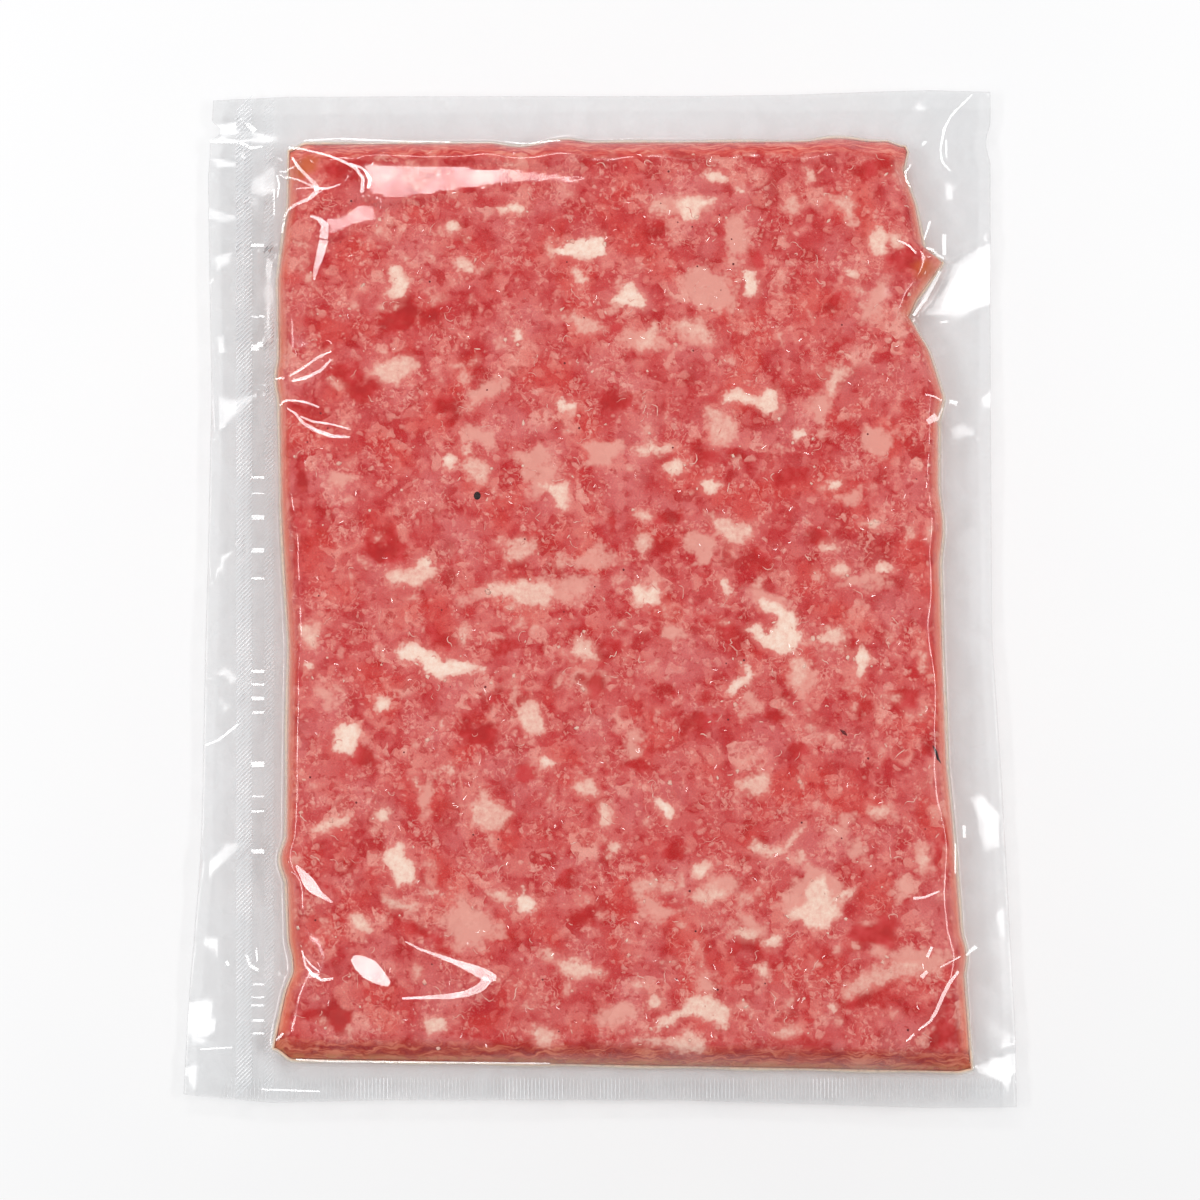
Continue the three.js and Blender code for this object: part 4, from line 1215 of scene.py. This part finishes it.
def meat(red, green, blue):
    """The colour that the mince needs, so that it shows as a colour in the photo's 0 to 255."""
    return tuple(max(c - VEIL_ON_MEAT, 0) / LIGHT_ON_MEAT for c in colour(red, green, blue)[:3]) + (1.0,)


def tones(tree, value, stops, look=meat):
    """A run of colours for a value from 0 to 1."""
    made = node(tree, "ValToRGB", {"Fac": value})
    ends = made.color_ramp.elements
    ends[0].position = stops[0][0]
    ends[0].color = look(*stops[0][1:])
    ends[1].position = stops[-1][0]
    ends[1].color = look(*stops[-1][1:])
    for position, *tone in stops[1:-1]:
        ends.new(position).color = look(*tone)
    return made.outputs["Color"]


def new_group(name, values_in, values_out):
    """An empty shader group that takes a place and some values, and its two ends."""
    group = bpy.data.node_groups.new(name, "ShaderNodeTree")
    group.interface.new_socket("Place", in_out="INPUT", socket_type="NodeSocketVector")
    for way, names in (("INPUT", values_in), ("OUTPUT", values_out)):
        for socket in names:
            group.interface.new_socket(socket, in_out=way, socket_type="NodeSocketFloat")
    return group, group.nodes.new("NodeGroupInput").outputs, group.nodes.new("NodeGroupOutput").inputs


def flakes_group():
    """Soft islands of many sizes: a mask, and one random number for each island."""
    group, given, result = new_group("flakes", ("Size", "Share", "Soft"), ("Mask", "Pick"))
    scale = maths(group, "DIVIDE", 1.0, given["Size"])
    grid = node(group, "TexVoronoi", {"Vector": given["Place"], "Scale": scale}, voronoi_dimensions="2D")
    chance = node(group, "SeparateColor", {"Color": grid.outputs["Color"]}).outputs
    spare = maths(group, "SUBTRACT", given["Share"], chance[0])
    radius = maths(group, "ADD", maths(group, "MULTIPLY", chance[2], 0.28), 0.34)
    radius = maths(group, "MULTIPLY", radius, ease(group, spare, -0.02, 0.1))
    depth = maths(group, "SUBTRACT", radius, grid.outputs["Distance"])
    low = maths(group, "MULTIPLY", given["Soft"], -0.5)
    high = maths(group, "MULTIPLY", given["Soft"], 0.5)
    group.links.new(ease(group, depth, low, high), result["Mask"])
    group.links.new(chance[1], result["Pick"])
    return group


flakes = flakes_group()


def flaked(tree, base, place, size, share, soft, strength, stops):
    """Lays a layer of flakes, each of its own tone, over a colour."""
    values = {"Place": place, "Size": size, "Share": share, "Soft": soft}
    layer = node(tree, "Group", values, node_tree=flakes).outputs
    cover = maths(tree, "MULTIPLY", layer["Mask"], strength)
    return blend(tree, cover, base, tones(tree, layer["Pick"], stops))


def ridges(tree, value, half):
    """Thin curling lines where soft noise crosses its middle."""
    return ease(tree, maths(tree, "ABSOLUTE", maths(tree, "SUBTRACT", value, 0.5)), 0.0, half, 1.0, 0.0)


def lean_colour(tree, place, bent):
    """Soft pieces of lean in many reds, and the cloud that they follow."""
    cloud = noise(tree, place, *LEAN_CLOUD)
    lean = tones(tree, cloud, CLOUD_TONES)
    for size, share, soft, strength in LEAN_LAYERS:
        lean = flaked(tree, lean, bent, size, share, soft, strength, LEAN_TONES)
    warm = flat_noise(tree, place, *WARM_CLOUD)
    lean = blend(tree, ease(tree, warm, *ORANGE_FADE), lean, meat(*ORANGE_LEAN))
    return blend(tree, ease(tree, warm, *PINK_FADE), lean, meat(*PINK_LEAN)), cloud


def laced(tree, lean, place):
    """Adds painted shade in the crevices, the curling pale lace and the grains between the pieces."""
    crumbly = flat_noise(tree, place, *CRUMBLY_CLOUD)
    swayed = warped(tree, place, *LACE_BEND)
    # Painted shade: the crevices are darkened towards a deep red.
    crevice_shade = flat_noise(tree, swayed, *CREVICE_SHADE_NOISE)
    lean = blend(tree, ease(tree, crevice_shade, *CREVICE_SHADE_FADE), lean, meat(*CREVICE_SHADE_RED))
    lace = ridges(tree, flat_noise(tree, swayed, *LACE_NOISE), LACE_HALF)
    lace = maths(tree, "MULTIPLY", lace, ease(tree, crumbly, *LACE_PLACES))
    lean = blend(tree, maths(tree, "MULTIPLY", lace, LACE_STRENGTH), lean, meat(*LACE_PINK))
    share = ease(tree, crumbly, *GRAIN_FADE)
    for size, strength in GRAIN_LAYERS:
        lean = flaked(tree, lean, swayed, size, share, GRAIN_SOFTNESS, strength, GRAIN_TONES)
    speckle = ease(tree, flat_noise(tree, place, *SPECKLE_NOISE), *SPECKLE_FADE)
    return node(tree, "HueSaturation", {"Color": lean, "Value": speckle}).outputs["Color"]


def spread(tree, name, ragged, shake):
    """How deep a point lies in a kind of patch, with a ragged edge."""
    return maths(tree, "ADD", mark(tree, name), maths(tree, "MULTIPLY", ragged, shake))


def patched(tree, lean, ragged, cloud):
    """Adds the pale smears and the crimson patches, two of them painted shade along the lower left crease."""
    pale = ease(tree, spread(tree, "pale", ragged, SMEAR_RAGGED), *SMEAR_FADE)
    lean = blend(tree, pale, lean, meat(*SMEAR_PINK))
    # The crimson patches include two strips of painted shade along the lower left crease.
    deep = ease(tree, spread(tree, "lean", ragged, CRIMSON_RAGGED), *CRIMSON_FADE)
    return blend(tree, deep, lean, tones(tree, cloud, CRIMSON_TONES))


def edged(tree, lean, place, bent):
    """Makes the two sides orange with a cream rim, and draws streaks along both ends."""
    mottle = noise(tree, place, *EDGE_MOTTLE)
    spotted = ease(tree, mottle, *RIM_SPOTS_FADE)
    uneven = spread(tree, "side", mottle, SIDE_RAGGED)
    share = maths(tree, "MULTIPLY", ease(tree, uneven, *SIDE_ORANGE_FADE),
                  ease(tree, mottle, *SIDE_SPOTS_FADE))
    lean = blend(tree, share, lean, meat(*SIDE_ORANGE))
    share = maths(tree, "MULTIPLY", ease(tree, uneven, *SIDE_CREAM_FADE), spotted)
    lean = blend(tree, share, lean, meat(*SIDE_CREAM))
    stretched = node(tree, "VectorMath", {0: bent, 1: STREAK_STRETCH}, operation="MULTIPLY").outputs[0]
    streak = flat_noise(tree, stretched, *STREAK_NOISE)
    upper = ease(tree, mark(tree, "upper_end"), *UPPER_END_FADE)
    lean = blend(tree, upper, lean, tones(tree, streak, UPPER_TONES))
    lower = mark(tree, "lower_end")
    lean = blend(tree, ease(tree, lower, *LOWER_END_FADE), lean, tones(tree, streak, LOWER_TONES))
    share = maths(tree, "MULTIPLY", ease(tree, lower, *LOWER_RIM_FADE), spotted)
    return blend(tree, share, lean, meat(*LOWER_RIM_BROWN))


def fat_colour(tree, place, fat_in, creamy):
    """Cream fat, pinker at its rim and where it is less creamy."""
    own_share, mottle_share = FAT_CREAM_SHARES
    cream = maths(tree, "ADD", maths(tree, "MULTIPLY", creamy, own_share),
                  maths(tree, "MULTIPLY", flat_noise(tree, place, *FAT_MOTTLE), mottle_share))
    rim = ease(tree, fat_in, *FAT_RIM_FADE)
    return blend(tree, rim, tones(tree, cream, FAT_TONES), meat(*FAT_RIM_PINK))


def mince_material():
    """Wet lean in soft pieces of many reds, with its fat, lace and grains, and oranger at its sides."""
    material = new_material("raw_mince")
    tree = material.node_tree
    place = millimetres(tree)
    bent = warped(tree, place, *LEAN_BEND)
    ragged = maths(tree, "SUBTRACT", noise(tree, place, *RAGGED_NOISE), 0.5)
    lean, cloud = lean_colour(tree, place, bent)
    lean = patched(tree, laced(tree, lean, place), ragged, cloud)
    lean = edged(tree, lean, place, bent)
    browned = ease(tree, spread(tree, "browned", ragged, BROWNED_RAGGED), *BROWNED_FADE)
    lean = blend(tree, browned, lean, meat(*BROWNED_TONE))

    # The fat marks also carry one painted highlight, a glint of the film laid in as pale fat.
    fat_in = mark(tree, "fat")
    creamy = mark(tree, "creamy")
    lean = blend(tree, ease(tree, fat_in, *ROUND_FAT_FADE), lean, meat(*ROUND_FAT_PINK))
    depth = spread(tree, "fat", ragged, ease(tree, creamy, *FAT_RAGGED))
    soft = ease(tree, creamy, *FAT_SOFTNESS)
    fat = ease(tree, depth, maths(tree, "MULTIPLY", soft, -0.7), soft)
    cover = maths(tree, "MULTIPLY", fat, ease(tree, creamy, *FAT_COVER_FADE))
    skin = blend(tree, cover, lean, fat_colour(tree, place, fat_in, creamy))

    relief = maths(tree, "ADD", maths(tree, "MULTIPLY", fat, FAT_BUMP_SHARE), cloud)
    wet = ease(tree, cloud, *MEAT_ROUGHNESS)
    surface(tree, painted(tree, skin, wet, MEAT_SHINE, Normal=bump(tree, relief, *MEAT_BUMP)))
    return material


block_x, block_y = crossings(MINCE_CELL, 0, MINCE_INSET)
block_sides = outline_at(BLOCK, block_x, block_y, MINCE_INSET)
block_top = mince_top(block_x, block_y)
block_edge = rounded_edges(block_x, block_y, block_sides, UNDER_SHOULDER)
block_under = SEAM_HEIGHT - MINCE_GAP - (SEAM_HEIGHT - 2 * MINCE_GAP) * block_edge
block_under = np.minimum(block_under, block_top - LEAST_THICKNESS)
points, faces = closed_form(block_x, block_y, block_top, block_under, UNDERSIDE_EVERY)
mince = new_piece("mince_block", points, faces, mince_material())
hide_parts("vacuum_pack")
mark_x, mark_y = points[:, 0], points[:, 1]
mark_depths = depths_inside(mark_x, mark_y, outline_at(BLOCK, mark_x, mark_y, MINCE_INSET))
mark_fat, mark_creamy = fat_and_glint_at(mark_x, mark_y)
mark_points(mince, "fat", mark_fat)
mark_points(mince, "creamy", mark_creamy)
patch_x, patch_y = shaken(mark_x, mark_y, PATCH_SHAKE)
mark_points(mince, "pale", depth_in(patch_x, patch_y, placed(PALE_SMEARS), PATCH_SEEDS["pale"]))
mark_points(mince, "lean", depth_in(patch_x, patch_y, placed(DEEP_LEAN_AND_CREASE_SHADE), PATCH_SEEDS["lean"]))
mark_points(mince, "browned", depth_in(mark_x, mark_y, placed(BROWNED), PATCH_SEEDS["browned"]))
mark_points(mince, "side", np.minimum(mark_depths["left"], mark_depths["right"]))
mark_points(mince, "upper_end", mark_depths["top"])
mark_points(mince, "lower_end", mark_depths["bottom"])


# ---- Crumbs of fat and sinew ----
# Small firm grains that the mincer broke off the fat. They lie pressed half into the mince's face,
# most of them beside the larger chips.

CRUMB_SEED = 11
CRUMB_TRIES = 1100
CRUMB_FIELD = ((-78, 85), (-116, 112))
CRUMB_MARGIN = 2.5
CRUMB_SHARES = (0.08, 0.62)              # kept of the tries anywhere, and more of them by the fat
CRUMB_HALF = (0.15, 0.45)
CRUMB_STRETCH = (0.5, 1.9)
CRUMB_KNOBS = (0.5, 1.3)
CRUMB_FLATNESS = 0.3
CRUMB_PINKS = ((232, 160, 146), (238, 184, 168))
CRUMB_CREAMS = ((236, 190, 172), (244, 212, 196))
CRUMB_MOTTLE = (0.7, 2, 0.3, 0.7)        # size, detail, and from and to of the noise
CRUMB_ROUGHNESS = (0.45, 0.6)


def mottle_group():
    """A soft mottle, as a mask from 0 to 1."""
    group, given, result = new_group("mottle", ("Size", "Detail", "Low", "High"), ("Mask",))
    scale = maths(group, "DIVIDE", 1.0, given["Size"])
    cloud = node(group, "TexNoise", {"Vector": given["Place"], "Scale": scale, "Detail": given["Detail"]})
    group.links.new(ease(group, cloud.outputs["Fac"], given["Low"], given["High"]), result["Mask"])
    return group


mottling = mottle_group()


def mottled(tree, size, detail, low, high):
    """Places the mottle in a material."""
    values = {"Place": millimetres(tree), "Size": size, "Detail": detail, "Low": low, "High": high}
    return node(tree, "Group", values, node_tree=mottling).outputs["Mask"]


def crumb_material():
    """Cream fat, pinker on some crumbs, with a faint mottle."""
    material = new_material("fat_crumbs")
    tree = material.node_tree
    mottle = mottled(tree, *CRUMB_MOTTLE)
    pinkish = blend(tree, mottle, *[meat(*tone) for tone in CRUMB_PINKS])
    cream = blend(tree, mottle, *[meat(*tone) for tone in CRUMB_CREAMS])
    tint = blend(tree, mark(tree, "creamy"), pinkish, cream)
    surface(tree, painted(tree, tint, ease(tree, mottle, 0, 1, *CRUMB_ROUGHNESS), MEAT_SHINE))
    return material


def crumb_ball():
    """Points and faces of a ball of 80 triangles."""
    form = bmesh.new()
    bmesh.ops.create_icosphere(form, subdivisions=2, radius=1)
    ball_points = np.array([list(corner.co) for corner in form.verts])
    ball_faces = np.array([[corner.index for corner in face.verts] for face in form.faces])
    form.free()
    return ball_points, ball_faces


draw = np.random.default_rng(CRUMB_SEED)
crumb_x, crumb_y = [draw.uniform(*field, CRUMB_TRIES) for field in CRUMB_FIELD]
crumb_chance = CRUMB_SHARES[0] + CRUMB_SHARES[1] * np.clip(fat_and_glint_at(crumb_x, crumb_y)[0] / 2 + 1.2, 0, 1)
crumb_kept = draw.uniform(0, 1, CRUMB_TRIES) < crumb_chance
crumb_kept &= least_depth(crumb_x, crumb_y, MINCE_INSET) > CRUMB_MARGIN
crumb_x = crumb_x[crumb_kept]
crumb_y = crumb_y[crumb_kept]
crumb_count = len(crumb_x)
ball_points, ball_faces = crumb_ball()
crumb_half = draw.uniform(*CRUMB_HALF, crumb_count)[:, None]
crumb_half = crumb_half * draw.uniform(*CRUMB_STRETCH, (crumb_count, 2))
crumb_turn = draw.uniform(0, math.pi, (crumb_count, 1))
knobbly = draw.uniform(*CRUMB_KNOBS, (crumb_count, len(ball_points)))
crumb_along = ball_points[None, :, 0] * knobbly * crumb_half[:, :1]
crumb_across = ball_points[None, :, 1] * knobbly * crumb_half[:, 1:]
crumb_high = ball_points[None, :, 2] * knobbly * crumb_half.min(axis=1)[:, None] * CRUMB_FLATNESS
crumb_points = np.stack([
    crumb_x[:, None] + crumb_along * np.cos(crumb_turn) - crumb_across * np.sin(crumb_turn),
    crumb_y[:, None] + crumb_along * np.sin(crumb_turn) + crumb_across * np.cos(crumb_turn),
    mince_top(crumb_x, crumb_y)[:, None] + crumb_high,
], axis=-1).reshape(-1, 3)
crumb_faces = (ball_faces[None] + len(ball_points) * np.arange(crumb_count)[:, None, None]).reshape(-1, 3)
crumbs = new_piece("fat_crumbs", crumb_points, crumb_faces.tolist(), crumb_material())
mark_points(crumbs, "creamy", np.repeat(draw.uniform(0, 1, crumb_count), len(ball_points)))


# ---- Threads of sinew ----
# Thin pale strands of sinew and gristle that curl over the mince, left where the mincer's plate cut
# them. Each is flattened, has round ends, and lies half sunk in the meat.

THREAD_SEED = 23
THREAD_COUNT = 280
THREAD_FIELD = ((-76, 82), (-114, 110))
THREAD_MARGIN = 1.5
THREAD_POINTS = 9
THREAD_STEP = (0.12, 0.55)
THREAD_HALF = (0.06, 0.17)
THREAD_FLATNESS = 0.5
THREAD_LIFT = 0.05
THREAD_BEND = 0.2                        # spread of a whole thread's bend, and of each step's own
THREAD_WANDER = 0.5
THREAD_PINKS = ((226, 140, 130), (240, 190, 176))
THREAD_MOTTLE = (1.2, 3, 0.35, 0.65)
THREAD_ROUGHNESS = (0.4, 0.55)
STRAND_SIDES = 6


def strands(paths, half_widths, half_heights):
    """Points and faces of closed strands along paths, flattened and with round ends."""
    points = []
    faces = []
    sides = STRAND_SIDES
    ring = np.linspace(0, 2 * math.pi, sides, endpoint=False)
    for path, wide, tall in zip(paths, half_widths, half_heights):
        path = np.asarray(path, float)
        ahead = np.gradient(path, axis=0)
        ahead /= np.linalg.norm(ahead, axis=1, keepdims=True)
        across = np.cross(ahead, (0, 0, 1))
        across /= np.linalg.norm(across, axis=1, keepdims=True)
        upward = np.cross(across, ahead)
        taper = np.sqrt(np.clip(1.04 - np.linspace(-1, 1, len(path)) ** 4, 0, 1))[:, None, None]
        body = path[:, None] + taper * (across[:, None] * wide * np.cos(ring)[:, None]
                                        + upward[:, None] * tall * np.sin(ring)[:, None])
        first = len(points)
        points.extend(body.reshape(-1, 3))
        for i in range(len(path) - 1):
            for j in range(sides):
                near = first + i * sides
                k = (j + 1) % sides
                faces.append([near + j, near + sides + j, near + sides + k, near + k])
        faces.append([first + j for j in range(sides)])
        faces.append([len(points) - 1 - j for j in range(sides)])
    return points, faces


def lay_on_mince(x, y, lift):
    """A path that lies on the mince."""
    return np.stack([x, y, mince_top(x, y) + lift], axis=-1)


def thread_material():
    """Pale pink sinew, whiter in places."""
    material = new_material("sinew")
    tree = material.node_tree
    mottle = mottled(tree, *THREAD_MOTTLE)
    tint = blend(tree, mottle, *[meat(*tone) for tone in THREAD_PINKS])
    surface(tree, painted(tree, tint, ease(tree, mottle, 0, 1, *THREAD_ROUGHNESS), MEAT_SHINE))
    return material


draw = np.random.default_rng(THREAD_SEED)
thread_paths = []
for _ in range(THREAD_COUNT):
    start_x, start_y = [draw.uniform(*field) for field in THREAD_FIELD]
    heading = draw.uniform(0, 2 * math.pi)
    bend = draw.normal(0, THREAD_BEND)
    headings = heading + np.cumsum(bend + draw.normal(0, THREAD_WANDER, THREAD_POINTS))
    step = draw.uniform(*THREAD_STEP)
    run_x = start_x + step * np.cumsum(np.cos(headings))
    run_y = start_y + step * np.cumsum(np.sin(headings))
    if least_depth(run_x, run_y, MINCE_INSET).min() > THREAD_MARGIN:
        thread_paths.append((run_x, run_y))
thread_halves = draw.uniform(*THREAD_HALF, len(thread_paths))
all_x = np.concatenate([run[0] for run in thread_paths])
all_y = np.concatenate([run[1] for run in thread_paths])
thread_runs = lay_on_mince(all_x, all_y, THREAD_LIFT).reshape(len(thread_paths), THREAD_POINTS, 3)
points, faces = strands(thread_runs, thread_halves, thread_halves * THREAD_FLATNESS)
new_piece("sinew_threads", points, faces, thread_material())


# ---- Dark specks and vein ----
# A round black speck, a cut vein at the right side, a dark red strand that paints the shade in a slit,
# and small dark red specks of clotted blood, all lying on the mince.

SPECK_AT = (477, 496)
SPECK_HALVES = (0.8925, 1.05, 0.231)     # across, along and up
VEIN_RUN = [(933, 746), (936, 752), (938, 759), (942, 763)]
VEIN_HALF = 0.42
# Painted shade: the slit is drawn as a dark red strand lying on the mince.
SLIT_SHADE_RUN = [(840, 730), (844, 733), (847, 736)]
SLIT_SHADE_HALF = 0.45
CLOT_SEED = 31
CLOT_COUNT = 60
CLOT_FIELD = ((-76, 82), (-113, 109))
CLOT_HALF = (0.12, 0.3)
CLOT_ENDS = (-0.9, -0.3, 0.3, 0.9)       # its points, as parts of its half width
CLOT_SLANT = 0.4
CLOT_FLATNESS = 0.4
CLOT_LIFT = 0.04
BLACK_TONES = ((24, 8, 10), (46, 14, 16))
BLOOD_AND_SLIT_SHADE_TONES = ((110, 14, 24), (140, 30, 34))
CLOT_MOTTLE = (0.6, 2, 0.3, 0.7)
CLOT_ROUGHNESS = (0.4, 0.6)
REDNESS = {"vein": 0.0, "slit_shade": 0.7, "clot": 0.8, "speck": 0.0}


def dark_mark_material():
    """Nearly black clotted blood, redder at places; its dark red also paints the shade in a slit."""
    material = new_material("clotted_blood_and_slit_shade")
    tree = material.node_tree
    mottle = mottled(tree, *CLOT_MOTTLE)
    black = blend(tree, mottle, *[colour(*tone) for tone in BLACK_TONES])
    red = blend(tree, mottle, *[colour(*tone) for tone in BLOOD_AND_SLIT_SHADE_TONES])
    tint = blend(tree, mark(tree, "reddish"), black, red)
    surface(tree, painted(tree, tint, ease(tree, mottle, 0, 1, *CLOT_ROUGHNESS), MEAT_SHINE))
    return material


draw = np.random.default_rng(CLOT_SEED)
clot_x, clot_y = [draw.uniform(*field, CLOT_COUNT)[:, None] for field in CLOT_FIELD]
clot_halves = draw.uniform(*CLOT_HALF, CLOT_COUNT)
clot_ends = np.outer(clot_halves, CLOT_ENDS)
dark_paths = [lay_on_mince(*seen_at(*np.transpose(run), BLOCK_HEIGHT), CLOT_LIFT)
              for run in (VEIN_RUN, SLIT_SHADE_RUN)]
dark_paths += list(lay_on_mince(clot_x + clot_ends, clot_y + clot_ends * CLOT_SLANT, CLOT_LIFT))
dark_kinds = ["vein", "slit_shade"] + ["clot"] * CLOT_COUNT
dark_halves = np.array([VEIN_HALF, SLIT_SHADE_HALF, *clot_halves])
points, faces = strands(dark_paths, dark_halves, dark_halves * CLOT_FLATNESS)
reddish = np.repeat([REDNESS[kind] for kind in dark_kinds], [len(path) * STRAND_SIDES for path in dark_paths])
speck_x, speck_y = seen_at(*SPECK_AT, BLOCK_HEIGHT)
speck_height = mince_top(np.array([speck_x]), np.array([speck_y]))[0]
speck = ball_points * SPECK_HALVES + (speck_x, speck_y, speck_height)
faces += (ball_faces + len(points)).tolist()
clots = new_piece("dark_specks", np.concatenate([points, speck]), faces, dark_mark_material())
mark_points(clots, "reddish", [*reddish, *[REDNESS["speck"]] * len(ball_points)])


# ---- Meat juice ----
# The little juice that the vacuum drew out stands in the corner where the film leaves the block, cream
# by the meat and clear outward.

JUICE_WIDTH = 0.7
JUICE_SWAY = 0.25                        # how much that width comes and goes
JUICE_WAVE = (4.3, 6.1)
# Share of its width out from the block, and height over the seam, round its section.
JUICE_SECTION = [(0.0, 0.62), (0.35, 0.4), (0.75, 0.2), (1.0, 0.03), (0.9, -0.08), (0.0, -0.3)]
JUICE_TONES = [(0.0, 240, 176, 138), (0.4, 250, 226, 202), (1.0, 240, 242, 236)]
JUICE_TINT = (0.98, 0.98, 0.96, 1)       # light that passes through it
JUICE_SHINE = 0.3
JUICE_CLOUD = (2.5, 3)                   # size and detail
JUICE_ROUGHNESS = (0.3, 0.7, 0.2, 0.4)   # from and to of the cloud, and how rough it is at each
JUICE_BODY = (0.1, 1.0, 0.85, 0.12)      # from and to of the way out, and how thick it looks at each
JUICE_PATCHES = (0.3, 0.6, 0.5, 1.0)
CORNER_REACH = 3                         # points to either side that its direction is taken from


def juice_material():
    """Thin cloudy juice, cream by the meat and fading outward."""
    material = new_material("meat_juice")
    tree = material.node_tree
    out = mark(tree, "out")
    cloudy = noise(tree, millimetres(tree), *JUICE_CLOUD)
    tint = tones(tree, out, JUICE_TONES, colour)
    wet = painted(tree, tint, ease(tree, cloudy, *JUICE_ROUGHNESS), JUICE_SHINE)
    clear = node(tree, "BsdfTransparent", {"Color": JUICE_TINT}).outputs[0]
    body = maths(tree, "MULTIPLY", ease(tree, out, *JUICE_BODY), ease(tree, cloudy, *JUICE_PATCHES))
    surface(tree, node(tree, "MixShader", {0: body, 1: clear, 2: wet}).outputs[0])
    return material


def loop_round(grid):
    """The outermost points of a grid, in order round it."""
    return np.concatenate([grid[:-1, 0], grid[-1, :-1], grid[:0:-1, -1], grid[0, :0:-1]])


loop = np.stack([loop_round(block_x), loop_round(block_y)], axis=-1)
loop_x, loop_y = loop.T
ahead = np.roll(loop, -CORNER_REACH, axis=0) - np.roll(loop, CORNER_REACH, axis=0)
ahead /= np.linalg.norm(ahead, axis=1, keepdims=True)
section_out, section_high = np.transpose(JUICE_SECTION)
juice_wave = np.sin(loop_x / JUICE_WAVE[0] + loop_y / JUICE_WAVE[1])
juice_reach = MINCE_INSET + JUICE_WIDTH * (1 - JUICE_SWAY + JUICE_SWAY * juice_wave)
juice_x = loop_x[:, None] + ahead[:, 1:] * juice_reach[:, None] * section_out
juice_y = loop_y[:, None] - ahead[:, :1] * juice_reach[:, None] * section_out
juice_z = SEAM_HEIGHT + section_high + np.zeros_like(juice_x)
count, sides = juice_x.shape
near, turn = np.meshgrid(np.arange(count), np.arange(sides), indexing="ij")
far = (near + 1) % count
next_turn = (turn + 1) % sides
corners = [near * sides + turn, near * sides + next_turn, far * sides + next_turn, far * sides + turn]
faces = np.stack(corners, axis=-1).reshape(-1, 4).tolist()
points = np.stack([juice_x, juice_y, juice_z], axis=-1).reshape(-1, 3)
juice = new_piece("meat_juice", points, faces, juice_material())
mark_points(juice, "out", np.tile(section_out, count))


# ---- Pressed seal of the pouch ----
# The left side is sealed between ribbed jaws, which leave two bands of slanting ribs, with plain dashes
# between them. The bottom seal has fine upright ribs.

RIB_PITCH = 4.4
RIB_STEP = 3.0
LEFT_BANDS = [(236, 252, 16, 0.65), (264, 274, 10, 0.35)]   # from, to, rise and a rib's width, in pixels
LEFT_RIBS = (104, 1092)
BOTTOM_RIBS = (224, 1004)
BOTTOM_ROWS = (1079, 1099)
BOTTOM_PITCH = 3.8
BOLD_RIBS = [(354, 390), (502, 563), (598, 623), (703, 736), (811, 847)]
BOTTOM_WIDTHS = (0.25, 0.6)              # of the other ribs, and of the bold ones
PRESSED_HAZE = 0.75


rib_runs = []
for low, high, rise, wide in LEFT_BANDS:
    for row in np.arange(*LEFT_RIBS, RIB_PITCH):
        rib_runs.append([(low, row + rise / 2, wide), (high, row - rise / 2, wide)])
for column in np.arange(*BOTTOM_RIBS, BOTTOM_PITCH):
    wide = BOTTOM_WIDTHS[any(low <= column <= high for low, high in BOLD_RIBS)]
    rib_runs.append([(column, row, wide) for row in BOTTOM_ROWS])
points, faces = pucker_steps(laid_runs(rib_runs), RIB_STEP)
ribs = new_piece("seal_ribs", points, faces, film_material("pressed_film", PRESSED_HAZE))
ribs.data.shade_flat()
mark_points(ribs, "sealed", np.ones(len(points)))
